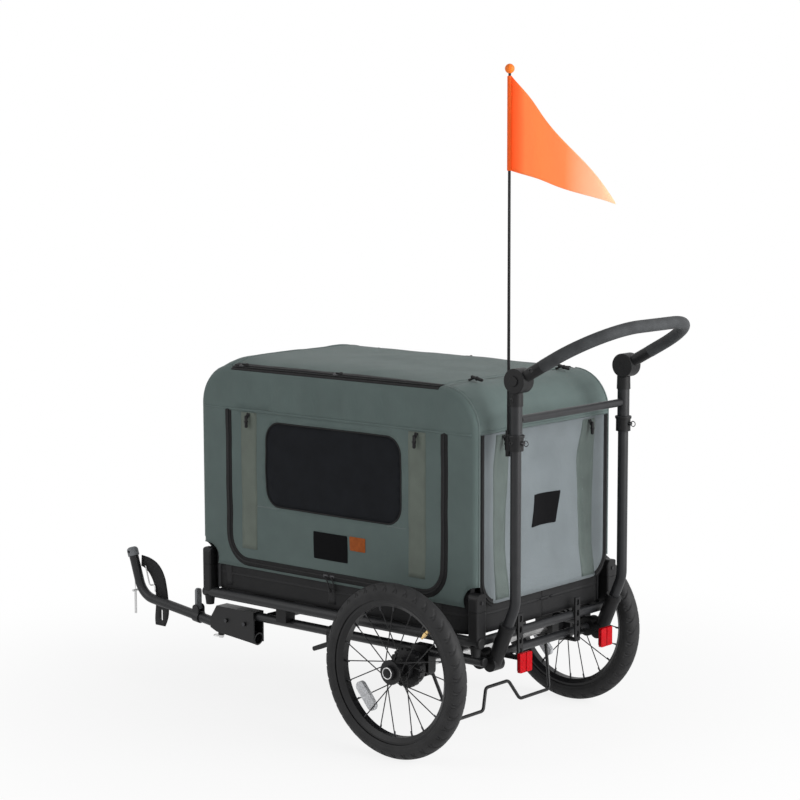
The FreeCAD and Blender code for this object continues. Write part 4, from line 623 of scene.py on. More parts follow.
class Surface:
    """A procedural material: a shader, noise in its colour and roughness, and bumps one over the other."""

    def __init__(self, name, colour, roughness, metallic=0.0):
        self.material = bpy.data.materials.new(name)
        self.material.use_nodes = True
        self.tree = self.material.node_tree
        self.shader = self.tree.nodes["Principled BSDF"]
        self.coordinates = self.tree.nodes.new("ShaderNodeTexCoord").outputs["Object"]
        self.colour = colour
        self.roughness = roughness
        self.bump = None
        self.set(Base_Color=(*colour, 1), Roughness=roughness, Metallic=metallic)

    def set(self, **values):
        for name, value in values.items():
            self.shader.inputs[name.replace("_", " ")].default_value = value

    def node(self, kind, **values):
        made = self.tree.nodes.new(kind)
        for name, value in values.items():
            if name in made.inputs:
                made.inputs[name].default_value = value
            else:
                setattr(made, name, value)
        return made

    def link(self, start, end):
        self.tree.links.new(start, end)

    def placed(self, kind, output, **values):
        """One output of a node that reads the object's own coordinates."""
        made = self.node(kind, **values)
        self.link(self.coordinates, made.inputs["Vector"])
        return made.outputs[output]

    def noise(self, scale, detail=4.0, stretch=(1, 1, 1)):
        made = self.node("ShaderNodeTexNoise", Scale=scale, Detail=detail)
        self.link(self.placed("ShaderNodeMapping", "Vector", Scale=stretch), made.inputs["Vector"])
        return made.outputs["Fac"]

    def wave(self, scale, direction):
        return self.placed("ShaderNodeTexWave", "Fac", bands_direction=direction, Scale=scale)

    def cells(self, scale, **values):
        return self.placed("ShaderNodeTexVoronoi", "Distance", Scale=scale, **values)

    def span(self, value, low, high, start, end, **kind):
        """A value between two limits, turned into one between two others."""
        made = self.node("ShaderNodeMapRange", **kind)
        for name, limit in (("From Min", low), ("From Max", high), ("To Min", start), ("To Max", end)):
            made.inputs[name].default_value = limit
        self.link(value, made.inputs["Value"])
        return made.outputs["Result"]

    def mottle(self, amount, scale, detail=5.0, stretch=(1, 1, 1)):
        """Lighter and darker places in the colour."""
        ramp = self.node("ShaderNodeValToRGB")
        factors = (1 - amount, 1 + amount)
        for element, position, factor in zip(ramp.color_ramp.elements, MOTTLE_SPAN_SHARES, factors):
            element.position = position
            element.color = (*[min(1, channel * factor) for channel in self.colour], 1)
        self.link(self.noise(scale, detail, stretch), ramp.inputs["Fac"])
        self.link(ramp.outputs["Color"], self.shader.inputs["Base Color"])
        return self

    def uneven(self, amount, scale):
        """Rougher and smoother places."""
        low = max(LEAST_ROUGHNESS, self.roughness - amount)
        high = min(1, self.roughness + amount)
        self.link(self.span(self.noise(scale), 0, 1, low, high), self.shader.inputs["Roughness"])
        return self

    def relief(self, height, distance, strength):
        made = self.node("ShaderNodeBump", Strength=strength, Distance=distance)
        self.link(height, made.inputs["Height"])
        if self.bump:
            self.link(self.bump.outputs["Normal"], made.inputs["Normal"])
        self.bump = made
        self.link(made.outputs["Normal"], self.shader.inputs["Normal"])
        return self

    def weave(self, threads, distance):
        """Threads in all three directions added up, so that every side shows warp and weft."""
        height = self.wave(threads, "X")
        for direction in "YZ":
            total = self.node("ShaderNodeMath", operation="ADD")
            self.link(height, total.inputs[0])
            self.link(self.wave(threads, direction), total.inputs[1])
            height = total.outputs[0]
        return self.relief(height, distance, WEAVE_STRENGTH)

    def mix_with(self, shader):
        """Mix another shader into the material, and give the input for its share."""
        mix = self.node("ShaderNodeMixShader")
        self.link(self.shader.outputs["BSDF"], mix.inputs[1])
        self.link(shader, mix.inputs[2])
        self.link(mix.outputs["Shader"], self.tree.nodes["Material Output"].inputs["Surface"])
        return mix.inputs["Fac"]


def finish_grained(name, colour, roughness, shine, mottle, uneven, grain, depth, strength):
    """Coated metal, moulded plastic, rubber or foam."""
    made = Surface(name, colour, roughness)
    made.set(Specular_IOR_Level=shine)
    made.mottle(*mottle).uneven(*uneven)
    return made.relief(made.noise(*grain), depth, strength).material


def finish_metal(name, colour, roughness):
    made = Surface(name, colour, roughness, 1.0)
    made.mottle(0.1, 120, stretch=BRUSHED_COLOUR).uneven(0.08, 90)
    return made.relief(made.noise(700, 4, BRUSHED_GRAIN), METAL_DEPTH, 0.4).material


def finish_cloth(name, colour, roughness, threads, sheen):
    made = Surface(name, colour, roughness)
    made.set(Sheen_Weight=sheen, Sheen_Roughness=0.45, Specular_IOR_Level=0.25)
    made.mottle(0.07, 14).uneven(0.06, 35)
    made.relief(made.noise(26, 5), WRINKLE_DEPTH, 0.25)
    return made.weave(threads, CLOTH_DEPTH).material


def finish_webbing(name, colour, roughness, shine=0.25):
    made = Surface(name, colour, roughness)
    made.set(Specular_IOR_Level=shine)
    made.mottle(0.1, 30).uneven(0.06, 30)
    made.relief(made.wave(260, "DIAGONAL"), RIB_DEPTH, 0.5)
    return made.weave(330, WEBBING_DEPTH).material


def finish_zip(name, colour, roughness):
    made = Surface(name, colour, roughness)
    made.set(Specular_IOR_Level=0.2)
    made.mottle(0.2, 80).uneven(0.1, 60)
    return made.weave(420, ZIP_DEPTH).material


def finish_lens(name, colour, roughness, cell):
    made = Surface(name, colour, roughness)
    made.set(Coat_Weight=0.02, Coat_Roughness=0.05, Specular_IOR_Level=0.06)
    made.mottle(0.25, 300, 2)
    prisms = made.cells(cell, distance="CHEBYCHEV", Randomness=0.0)
    return made.relief(prisms, LENS_DEPTH, 0.7).material


def finish_net(name, colour, roughness):
    """Netting: small holes in rows, dark between them."""
    made = Surface(name, colour, roughness)
    made.set(Specular_IOR_Level=0.12)
    made.mottle(0.15, 30, 3)
    return made.relief(made.cells(420.0, Randomness=0.15), NET_DEPTH, 0.8).material


def finish_leather(name, colour, roughness):
    made = Surface(name, colour, roughness)
    made.set(Specular_IOR_Level=0.12)
    made.mottle(0.16, 130).uneven(0.08, 90)
    return made.relief(made.cells(900.0), LEATHER_DEPTH, 0.4).material


def finish_pennant(name, colour, roughness):
    """Thin orange nylon that lets light through, paler towards its tip, with a painted glow in its own
    colour.
    """
    made = Surface(name, colour, roughness)
    # Emission strength here is a painted glow in the cloth's colour.
    made.set(Specular_IOR_Level=0.2, Emission_Strength=0.3)
    start = AXLE_X + FLAG_X
    along = made.placed("ShaderNodeSeparateXYZ", "X")
    share = made.span(along, start, start + PENNANT_LENGTH, 0, 1, interpolation_type="SMOOTHSTEP")
    ramp = made.node("ShaderNodeValToRGB")
    ramp.color_ramp.elements[0].color = (0.95, 0.17, 0.03, 1)
    ramp.color_ramp.elements[1].color = (1.0, 0.76, 0.56, 1)
    ramp.color_ramp.elements.new(0.06).color = (1.0, 0.38, 0.13, 1)
    ramp.color_ramp.elements.new(0.60).color = (1.0, 0.40, 0.15, 1)
    made.link(share, ramp.inputs["Fac"])
    glow = made.node("ShaderNodeBsdfTranslucent")
    inputs = made.shader.inputs
    # The ramp's colour also feeds the emission: the painted glow.
    for target in (inputs["Base Color"], inputs["Emission Color"], glow.inputs["Color"]):
        made.link(ramp.outputs["Color"], target)
    made.mix_with(glow.outputs["BSDF"]).default_value = NYLON_GLOW_SHARE
    return made.weave(500, NYLON_DEPTH).material


SURFACES = {
    "frame": finish_grained("frame_coat", (0.0135, 0.0140, 0.0156), 0.40, **POWDER),
    "black_metal": finish_grained("black_coat", (0.0075, 0.0075, 0.0083), 0.42, **POWDER),
    "plastic": finish_grained("black_plastic", (0.007, 0.007, 0.0076), 0.48, **PLASTIC),
    "grey": finish_grained("grey_plastic", (0.20, 0.21, 0.22), 0.45, **PLASTIC),
    "steel": finish_metal("zinc_steel", (0.60, 0.60, 0.60), 0.30),
    "dark_steel": finish_metal("dark_steel", (0.055, 0.055, 0.058), 0.38),
    "brass": finish_metal("brass", (0.78, 0.55, 0.25), 0.28),
    "tyre": finish_grained("tyre_rubber", (0.023, 0.023, 0.0238), 0.62, **RUBBER),
    "rubber": finish_grained("black_rubber", (0.011, 0.011, 0.0118), 0.6, **RUBBER),
    "grip": finish_grained("grip_foam", (0.045, 0.0475, 0.050), 0.74, **RUBBER),
    "cover": finish_cloth("cover_cloth", (0.095, 0.130, 0.124), 0.62, 300, 0.06),
    # The rear door is the cover's cloth painted lighter and bluer: painted sheen of the key lamp on the rear
    # face.
    "door": finish_cloth("rear_door_painted_sheen", (0.138, 0.160, 0.170), 0.5, 300, 0.10),
    "piping": finish_cloth("cover_piping", (0.125, 0.160, 0.156), 0.6, 420, 0.06),
    "tub": finish_cloth("tub_cloth", (0.007, 0.007, 0.0076), 0.66, 300, 0.0),
    "stripe": finish_webbing("olive_webbing", (0.125, 0.148, 0.125), 0.5),
    # The rear stripes are the side stripes' webbing painted darker and greener: painted shade of the satin
    # on the rear face.
    "rear_stripe": finish_webbing("satin_webbing_painted_shade", (0.085, 0.108, 0.100), 0.36),
    "webbing": finish_webbing("black_webbing", (0.010, 0.010, 0.0108), 0.58),
    "zip": finish_zip("zip_tape", (0.007, 0.007, 0.0075), 0.6),
    "mesh": finish_net("window_mesh", (0.0082, 0.0092, 0.0115), 0.8),
    "label": finish_webbing("black_label", (0.005, 0.005, 0.0056), 0.8, 0.06),
    "leather": finish_leather("tan_leather", (0.31, 0.078, 0.017), 0.6),
    "red": finish_lens("red_reflector", (0.40, 0.001, 0.005), 0.14, 260.0),
    "clear": finish_lens("clear_reflector", (0.62, 0.63, 0.65), 0.14, 300.0),
    "flag": finish_pennant("flag_nylon", (1.0, 0.16, 0.03), 0.55),
    "ball": finish_grained("orange_plastic", (1.0, 0.20, 0.02), 0.4, **PLASTIC),
    "board": finish_grained("floor_sheet", (0.03, 0.03, 0.032), 0.6, **PLASTIC),
}

NODE_SURFACES = {
    "frame": ["chassis_tubes", "floor_frame", "handle_posts", "handle_tubes", "tow_arm", "hoop_left",
              "hoop_right"],
    "black_metal": ["axle_brackets", "tow_bracket", "brake_bar", "frame_lever", "left_rim", "right_rim",
                    "left_spokes", "right_spokes", "left_hub", "right_hub"],
    "plastic": ["rail_plugs", "rail_clamps", "handle_sockets", "corner_posts", "post_collars",
                "knuckle_bases", "handlebar", "left_tilt_button", "right_tilt_button", "reflector_brackets",
                "left_axle_button", "right_axle_button"],
    "rubber": ["corner_feet", "hold_down_straps"],
    "steel": ["axle", "wheel_bearings", "tow_lock_pin", "hitch_hardware"],
    "dark_steel": ["frame_bolts", "left_height_pin", "right_height_pin"],
    "grey": ["hitch_cap", "tow_lever"],
    "grip": ["handle_grip"],
    "red": ["rear_reflectors"],
    "clear": ["left_spoke_reflector", "right_spoke_reflector"],
    "board": ["floor_board"],
}


def dress_cad_nodes():
    for surface, nodes in NODE_SURFACES.items():
        for node in nodes:
            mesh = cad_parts[node].data
            mesh.materials.clear()
            mesh.materials.append(SURFACES[surface])


# The cabin's surfaces. Each gives a point for two places on the cloth and a lift from it.

def drape(across, up, seed):
    """Soft unevenness of stretched cloth."""
    place = Vector((across / DRAPE_LENGTH, up / DRAPE_LENGTH, seed))
    return DRAPE * noise.noise(place) + DRAPE / 2 * noise.noise(place * FINE_DRAPE_SCALE)


def edge_depth(x, z):
    """How far a place on the side lies inside the cabin's outline, not counting the hem."""
    middle = (FRONT + REAR) / 2
    across = abs(x - middle) - ((REAR - FRONT) / 2 - CORNER)
    up = z - STRAIGHT
    if across > 0 and up > 0:
        return CORNER - math.hypot(across, up)
    return CORNER - max(across, up)


def edge_round(depth):
    rest = max(0, EDGE - max(0, depth))
    return EDGE - math.sqrt(max(0, EDGE * EDGE - rest * rest))


def pleat(x, seed):
    """Small upright pleats at uneven spaces."""
    wander = PLEAT_WANDER * noise.noise(Vector((x / PLEAT_LENGTH, 0, seed)))
    return PLEAT * math.sin(x / PLEAT_LENGTH * FULL_TURN + wander)


def side_place(side):
    def place(x, z, lift=0.0):
        depth = edge_depth(x, z)
        calm = smooth_step(0, CORNER, depth) * smooth_step(SIDE_HEM, SIDE_HEM + POST_CUT, z)
        pleats = pleat(x, side) * calm * smooth_step(SEAM_Z, TOP, z + CORNER / 4)
        soft = drape(x, z, side) * calm + pleats
        return at(x, side * (HALF - edge_round(depth) + soft + lift), z)
    return place


def flat_top(y):
    """The crown's share across the roof: nearly level, then falling to the edges."""
    return max(0, 1 - abs(y / (HALF - EDGE)) ** CROWN_POWER)


def fold(across, up, seed):
    """Long slanting folds of a loosely hung panel, all of them inwards."""
    place = Vector(((across + up * FOLD_SLANT_SHARE) / FOLD_WIDTH, up / FOLD_LENGTH, seed))
    return FOLD * (noise.noise(place) - 1) / 2


def end_place(end):
    crown = REAR_CROWN if end > 0 else FRONT_CROWN
    base = REAR if end > 0 else FRONT
    seed = END_SEED * end

    def place(y, run, lift=0.0):
        calm = smooth_step(CALM_EDGE, CORNER, HALF - abs(y)) * smooth_step(END_HEM, END_HEM + CORNER, run)
        loose = calm * (1 - smooth_step(SEAM_Z - CORNER, SEAM_Z, run))
        out = lift + drape(y, run, seed) * calm + (fold(y, run, seed) * loose if end > 0 else 0)
        if run <= STRAIGHT:
            return at(base + end * out, y, run)
        angle = (run - STRAIGHT) / CORNER
        radius = CORNER + out
        middle = base - end * CORNER
        rise = crown * flat_top(y) * math.sin(angle) ** 2
        return at(middle + end * radius * math.cos(angle), y, STRAIGHT + radius * math.sin(angle) + rise)
    return place


def roof_place(x, y, lift=0.0):
    middle = (FRONT + REAR) / 2
    along = (x - middle) / ((REAR - FRONT) / 2 - CORNER)
    end_crown = FRONT_CROWN if along < 0 else REAR_CROWN
    level = max(0, 1 - along * along)
    crown = (end_crown + (CROWN - end_crown) * level) * flat_top(y)
    return at(x, y, TOP + crown + drape(x, y, ROOF_SEED) * flat_top(y) * level + lift)


def tub_length():
    sides = 2 * (TUB_REAR - TUB_FRONT - 2 * TUB_CORNER) + 4 * (TUB_HALF - TUB_CORNER)
    return sides + FULL_TURN * TUB_CORNER


def tub_place(run, z, lift=0.0):
    """Place on the tub's wall, counted along its outline from the middle of the rear, towards the left."""
    long_run = TUB_REAR - TUB_FRONT - 2 * TUB_CORNER
    half_run = TUB_HALF - TUB_CORNER
    quarter = TUB_CORNER * QUARTER_TURN
    rise = min(1, max(0, (z - TUB_LOW) / (TUB_TOP - TUB_LOW)))
    out = lift + TUB_BULGE * math.sin(math.pi * rise) + drape(run, z, TUB_SEED) * TUB_DRAPE_SHARE
    run = run % tub_length()
    legs = [
        (half_run, (TUB_REAR, 0), (0, LEFT)),
        (quarter, (TUB_REAR - TUB_CORNER, -half_run), 0.0),
        (long_run, (TUB_REAR - TUB_CORNER, -TUB_HALF), (-1, 0)),
        (quarter, (TUB_FRONT + TUB_CORNER, -half_run), 0.5),
        (2 * half_run, (TUB_FRONT, -half_run), (0, RIGHT)),
        (quarter, (TUB_FRONT + TUB_CORNER, half_run), 1.0),
        (long_run, (TUB_FRONT + TUB_CORNER, TUB_HALF), (1, 0)),
        (quarter, (TUB_REAR - TUB_CORNER, half_run), 1.5),
        (half_run, (TUB_REAR, half_run), (0, LEFT)),
    ]
    for length, start, heading in legs:
        if run <= length:
            break
        run -= length
    if isinstance(heading, tuple):
        return tub_straight(start, heading, run, out, z)
    angle = -heading * math.pi - run / TUB_CORNER
    radius = TUB_CORNER + out
    return at(start[0] + radius * math.cos(angle), start[1] + radius * math.sin(angle), z)


def tub_straight(start, heading, run, out, z):
    normal = (-heading[1], heading[0])
    x = start[0] + heading[0] * run + normal[0] * out
    y = start[1] + heading[1] * run + normal[1] * out
    return at(x, y, z)


# Outlines on the cloth

def side_top_line(depth=0.0):
    """Edge of the side panel from the rear hem round the top to the front hem, or a line inside it."""
    radius = CORNER - depth
    hem = POST_CUT_Z + POST_CUT
    rear = arc((REAR - CORNER, STRAIGHT), radius, 0, QUARTER_TURN, CORNER_STEPS)
    front = arc((FRONT + CORNER, STRAIGHT), radius, QUARTER_TURN, math.pi, CORNER_STEPS)
    return [(REAR - depth, hem), *rear, *front, (FRONT + depth, hem)]


def side_edge_rows():
    """Points along the rounded edge of the side panel, at a few depths, clear of the corner posts."""
    points = []
    for share in EDGE_ROW_SHARES:
        points += divided(side_top_line(EDGE * share), WEAVE_STEP / 2, False)
    return [point for point in points if point[1] > POST_CUT_Z + POST_CUT + EDGE]


def side_outline():
    """Side panel, with its hem cut out round the corner posts."""
    low = math.asin((SIDE_HEM - POST_CUT_Z) / POST_CUT)
    front = post_arc(POST_FRONT, QUARTER_TURN, low)
    rear = post_arc(POST_REAR, math.pi - low, QUARTER_TURN)
    return divided(side_top_line() + front + rear, WEAVE_STEP / 2, True)


def post_arc(middle, start, end):
    """Arc of the hem over a corner post, from one angle to another."""
    return arc((middle, POST_CUT_Z), POST_CUT, start, end, ARC_STEPS)


def end_hem(half):
    """Hem of an end from its left edge to its right edge, arched over the corner posts."""
    start = math.acos((half - POST_CUT_Y) / POST_CUT)
    end = math.pi - math.asin((END_HEM - POST_CUT_Z) / POST_CUT)
    right = post_arc(POST_CUT_Y, end, start)
    left = [(-across, up) for across, up in reversed(right)]
    return left + right


def end_outline():
    half = HALF - EDGE
    top = STRAIGHT + CORNER_ARC
    return divided([*end_hem(half), (half, top), (-half, top)], WEAVE_STEP, True)


def rear_door_outline():
    low = (-REAR_DOOR_HALF + DOOR_GAP, END_HEM)
    high = (REAR_DOOR_HALF - DOOR_GAP, SEAM_Z)
    return rounded_rectangle(low, high, REAR_DOOR_CORNER, DOOR_TOP_CORNER, WEAVE_STEP)


def rear_zip_line(side):
    """Zip down one edge of the rear door and round its lower corner."""
    middle = (REAR_ZIP_Y - REAR_DOOR_CORNER, END_HEM + REAR_DOOR_CORNER)
    turn = -math.radians(REAR_ZIP_TURN_DEG)
    line = [(REAR_ZIP_Y, SEAM_Z - DOOR_GAP), *arc(middle, REAR_DOOR_CORNER, 0, turn, ARC_STEPS)]
    return [(side * across, up) for across, up in line]


def side_door_outline(gap):
    low = (DOOR_FRONT + gap, DOOR_BOTTOM + gap)
    high = (DOOR_REAR - gap, SEAM_Z)
    return rounded_rectangle(low, high, DOOR_CORNER, DOOR_TOP_CORNER, WEAVE_STEP)


def window_outline():
    low = (WINDOW_FRONT, WINDOW_LOW)
    high = (WINDOW_REAR, WINDOW_TOP)
    return rounded_rectangle(low, high, WINDOW_CORNER, WINDOW_CORNER, WEAVE_STEP / 2)


def without_top(loop, top):
    """The part of a closed loop below a height, as one open line from the top left round the bottom."""
    keep = [point for point in loop if point[1] < top]
    start = max(range(len(keep)), key=lambda index: math.dist(keep[index], keep[index - 1]))
    return keep[start:] + keep[:start]


# Trim on the cloth

def squash_up(piece, side_name):
    """The piece with a mesh of its own."""
    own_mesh(piece)
    return piece


def make_zip(name, line, place, width=ZIP_WIDTH):
    """Zip: a wide tape with a coil along its middle."""
    line = divided(line, ZIP_STEP, False)
    ribbon(name + "_tape", line, width, place, ZIP_LIFT / 2, "zip", profile=TAPE_SHARES)
    tube(name + "_coil", [place(*point, lift=ZIP_LIFT / 2) for point in line], ZIP_COIL, "plastic")


def make_stripe(name, across, low, place, surface, side_name):
    """Webbing stripe down a door."""
    line = straight((across, low), (across, STRIPE_TOP - SEAM_WIDTH))
    body = side_name + "_door"
    stripe = ribbon(name, line, STRIPE_WIDTH, place, STRIPE_LIFT, surface, body, profile=STRIPE_SHARES)
    squash_up(stripe, side_name)


def make_toggle(name, across, up, place, hangs=True):
    """Elastic loop with a small barrel, hanging from a seam or lying on the cloth below it."""
    loop = []
    for index in range(ARC_STEPS + 1):
        share = index / ARC_STEPS
        swing = math.sin(share * math.pi)
        lift = LOOP_RADIUS + TOGGLE_RADIUS * swing
        loop.append(place(across + (share - 0.5) * TOGGLE_RADIUS, up - TOGGLE_DROP * swing, lift=lift))
    tube(name + "_loop", loop, LOOP_RADIUS, "webbing", smooth=True)
    lift = TOGGLE_RADIUS + LOOP_RADIUS * 2
    start = place(across, up - TOGGLE_DROP / 3, lift=lift)
    end = start - UPWARD * TOGGLE_LENGTH
    if not hangs:
        end = place(across, up - TOGGLE_DROP / 3 - TOGGLE_LENGTH, lift=lift)
    profile = scaled(TOGGLE_SHARES, (end - start).length, TOGGLE_RADIUS)
    lathe(name + "_barrel", profile, start, (end - start).normalized(), "plastic", steps=20)


def make_piping(side, name):
    """Piped seams where a side meets the ends, up to the roof's zip."""
    line = divided(side_top_line(), WEAVE_STEP, False)
    for end, part in (("rear", [point for point in line if point[0] >= FLAP_REAR]),
                      ("front", [point for point in line if point[0] <= FLAP_FRONT])):
        points = [at(x, side * (HALF - EDGE), z) for x, z in part]
        tube(name + "_piping_" + end, points, PIPING_RADIUS, "piping")


def make_pull(name, place, across, up, hang):
    """Zip slider with a cord that hangs from it."""
    half = PULL_LENGTH / 2
    base = ZIP_LIFT / 2 + ZIP_COIL
    lift = base + CORD_RADIUS
    line = straight((across - half, up), (across + half, up), PULL_LENGTH / 4)
    ribbon(name + "_slider", line, PULL_WIDTH, place, base, "dark_steel", profile=SLIDER_SHARES)
    route = []
    for share, spread_share in PULL_ROUTE_SHARES:
        spread = spread_share * PULL_WIDTH
        route.append(place(across + hang[0] * share + spread, up + hang[1] * share, lift=lift))
    tube(name + "_cord", route, CORD_RADIUS, "webbing", smooth=True)
    start = route[-1]
    end = place(across + hang[0] * KNOB_END_SHARE, up + hang[1] * KNOB_END_SHARE, lift=lift)
    profile = scaled(KNOB_SHARES, (end - start).length, KNOB_RADIUS)
    lathe(name + "_knob", profile, start, (end - start).normalized(), "plastic", steps=16)


def make_pulls():
    middle = (DOOR_FRONT + DOOR_REAR) / 2
    beside = middle - PULL_SPACING
    for side, name in SIDES:
        place = side_place(side)
        edge = side * FLAP_HALF
        make_pull(name + "_door_pull_0", place, middle, DOOR_BOTTOM, (PULL_HANG / 4, -PULL_HANG))
        make_pull(name + "_door_pull_1", place, beside, DOOR_BOTTOM, (PULL_HANG / 2, -PULL_HANG))
        make_pull(name + "_roof_pull_0", roof_place, FLAP_FRONT + CORNER / 4, edge, (PULL_HANG / 2, 0))
        make_pull(name + "_roof_pull_1", roof_place, middle, edge, (PULL_HANG / 2, 0))


def make_tabs():
    """Webbing tabs that hold the tub's wall to the floor frame."""
    first = TUB_HALF - TUB_CORNER + TUB_CORNER * QUARTER_TURN + TUB_REAR - TUB_CORNER
    for index, x in enumerate(TAB_PLACES):
        for name, run in (("left", first - x), ("right", tub_length() - first + x)):
            line = straight((run, TAB_LOW), (run, TUB_TOP))
            tab = name + "_tab_%d" % index
            ribbon(tab, line, TAB_WIDTH, tub_place, SEAM_LIFT, "webbing", profile=TAPE_SHARES)


def patch(name, loop, place, surface, side_name):
    """Label or patch sewn on a door."""
    piece, _ = laid_panel(name, loop, [], place, surface, side_name + "_door", LABEL_LIFT, ZIP_STEP)
    squash_up(bevelled(thicken(piece, LABEL_LIFT), LABEL_LIFT / 3), side_name)


def make_labels():
    for name, low, high, surface in (("side_label", LABEL_LOW, LABEL_HIGH, "label"),
                                     ("side_patch", PATCH_LOW, PATCH_HIGH, "leather")):
        loop = rounded_rectangle(low, high, LABEL_CORNER, LABEL_CORNER, ZIP_STEP)
        patch(name, loop, side_place(LEFT), surface, "left")
    loop = rounded_rectangle(REAR_LABEL_LOW, REAR_LABEL_HIGH, LABEL_CORNER, LABEL_CORNER, ZIP_STEP)
    middle = (REAR_LABEL_LOW[1] + REAR_LABEL_HIGH[1]) / 2
    loop = [(across + (up - middle) * REAR_LABEL_SKEW_SHARE, up) for across, up in loop]
    patch("rear_label", loop, end_place(1), "label", "rear")


# Cabin pieces

def make_side(side, name):
    place = side_place(side)
    body = name + "_door"
    panel = cloth_panel(name + "_side_panel", side_outline(), [side_door_outline(0.0)], place, "cover",
                        "frame", rows=side_edge_rows())
    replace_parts(panel, "cover_" + name)
    door = cloth_panel(name + "_door_panel", side_door_outline(DOOR_GAP), [window_outline()], place,
                       "cover", body)
    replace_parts(squash_up(door, name), body)
    net = cloth_panel(name + "_door_net", window_outline(), [], place, "mesh", body,
                      lift=-WINDOW_SINK)
    squash_up(net, name)
    binding = ribbon(name + "_window_binding", window_outline(), WINDOW_BINDING, place, SEAM_LIFT / 2,
                     "zip", body, closed=True)
    squash_up(binding, name)
    half_stripe = STRIPE_WIDTH / 2
    for part, start, end in (("front", SIDE_STRIPES[0] + half_stripe, WINDOW_FRONT + WINDOW_CORNER),
                             ("rear", WINDOW_REAR - WINDOW_CORNER, SIDE_STRIPES[1] - half_stripe)):
        line = straight((start, WINDOW_SEAM_Z), (end, WINDOW_SEAM_Z))
        hem = ribbon(name + "_window_seam_" + part, line, WINDOW_BINDING, place, STRIPE_LIFT, "piping", body)
        squash_up(hem, name)
    make_zip(name + "_door_zip", without_top(side_door_outline(0.0), SEAM_Z - DOOR_GAP), place)
    seam = straight((FRONT + EDGE, SEAM_Z), (REAR - EDGE, SEAM_Z), WEAVE_STEP)
    ribbon(name + "_seam", seam, SEAM_WIDTH, place, SEAM_LIFT, "cover")
    for index, x in enumerate(SIDE_STRIPES):
        make_stripe(name + "_stripe_%d" % index, x, STRIPE_LOW, place, "stripe", name)
        make_toggle(name + "_toggle_%d" % index, x, SEAM_Z - SEAM_WIDTH, place)


def make_rear():
    place = end_place(1)
    half = HALF - EDGE
    low = POST_CUT_Z + POST_CUT
    top = STRAIGHT + CORNER_ARC
    opening = REAR_DOOR_HALF
    arch = [(half, low), (half, top), (-half, top), (-half, low),
            (-opening, low), (-opening, SEAM_Z), (opening, SEAM_Z), (opening, low)]
    arch = divided(arch, WEAVE_STEP / 2, True)
    panel = cloth_panel("rear_panel", arch, [], place, "cover", "frame")
    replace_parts(panel, "cover_rear")
    # The door's cloth is the cover's cloth painted lighter and bluer, as painted sheen.
    door = cloth_panel("rear_door_panel", rear_door_outline(), [], place, "door", "rear_door")
    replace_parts(squash_up(door, "rear"), "rear_door")
    for side, name in SIDES:
        make_zip("rear_zip_" + name, rear_zip_line(side), place, REAR_ZIP_WIDTH)
    seam_z = SEAM_Z + SEAM_WIDTH / 2
    seam = straight((-half, seam_z), (half, seam_z), WEAVE_STEP)
    ribbon("rear_seam", seam, SEAM_WIDTH, place, SEAM_LIFT, "cover")
    for index, y in enumerate(REAR_STRIPES):
        # The rear stripes take the webbing painted darker, as painted shade.
        make_stripe("rear_stripe_%d" % index, y, END_HEM + SEAM_WIDTH, place, "rear_stripe", "rear")
        make_toggle("rear_toggle_%d" % index, y, SEAM_Z - SEAM_WIDTH, place)
        make_toggle("roof_toggle_%d" % index, y, top, place, hangs=False)


def make_front():
    panel = cloth_panel("front_panel", end_outline(), [], end_place(-1), "cover", "frame")
    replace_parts(panel, "cover_front")


def make_roof():
    half = HALF - EDGE
    fine = WEAVE_STEP / 3
    hole = divided(rectangle((FLAP_FRONT, -FLAP_HALF), (FLAP_REAR, FLAP_HALF)), WEAVE_STEP, True)
    outline = divided(rectangle((FRONT + CORNER, -half), (REAR - CORNER, half)), fine, True)
    border = cloth_panel("roof_border", outline, [divided(hole, fine, True)], roof_place, "cover", "frame",
                         step=fine)
    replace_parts(border, "cover_roof")
    low = (FLAP_FRONT + DOOR_GAP, -FLAP_HALF + DOOR_GAP)
    high = (FLAP_REAR - DOOR_GAP, FLAP_HALF - DOOR_GAP)
    outline = divided(rectangle(low, high), WEAVE_STEP, True)
    flap = cloth_panel("roof_flap_panel", outline, [], roof_place, "cover", "roof_flap")
    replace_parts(flap, "roof_flap")
    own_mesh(flap)
    tape_z = TOP - ROOF_TAPE_WIDTH / 2
    edge = straight((FLAP_FRONT, tape_z), (FLAP_REAR, tape_z))
    for side, name in SIDES:
        line = [(FLAP_FRONT, side * FLAP_HALF), (FLAP_REAR, side * FLAP_HALF)]
        make_zip("roof_zip_" + name, line, roof_place)
        ribbon("roof_tape_" + name, edge, ROOF_TAPE_WIDTH, side_place(side), ZIP_LIFT / 2, "zip")
    hem = straight((FLAP_FRONT, -FLAP_HALF), (FLAP_FRONT, FLAP_HALF))
    ribbon("roof_front_hem", hem, SEAM_WIDTH, roof_place, SEAM_LIFT, "cover")


def make_tub():
    length = tub_length()
    loop = divided(rectangle((0, TUB_LOW), (length, TUB_TOP)), WEAVE_STEP, True)
    wall = cloth_panel("tub_wall", loop, [], tub_place, "tub", "frame")
    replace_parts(wall, "tub")
    low = (TUB_FRONT, -TUB_HALF)
    base = rounded_rectangle(low, (TUB_REAR, TUB_HALF), TUB_CORNER, TUB_CORNER, WEAVE_STEP)
    place = lambda x, y, lift=0.0: at(x, y, TUB_LOW + CLOTH + lift)
    floor = cloth_panel("tub_floor", base, [], place, "tub", "frame")
    for name, z, width in (("tub_seam", TUB_SEAM_Z, SEAM_WIDTH), ("tub_hem", TUB_HEM_Z, STRIPE_WIDTH / 2)):
        line = [(index * WEAVE_STEP, z) for index in range(int(length / WEAVE_STEP))]
        ribbon(name, line, width, tub_place, SEAM_LIFT / 2, "webbing", closed=True)


# Handle trim

def make_screw(name, start, outward, body):
    profile = scaled(SCREW_SHARES, SCREW_HEIGHT, SCREW_RADIUS)
    lathe(name, profile, start, outward, "black_metal", body, 24)


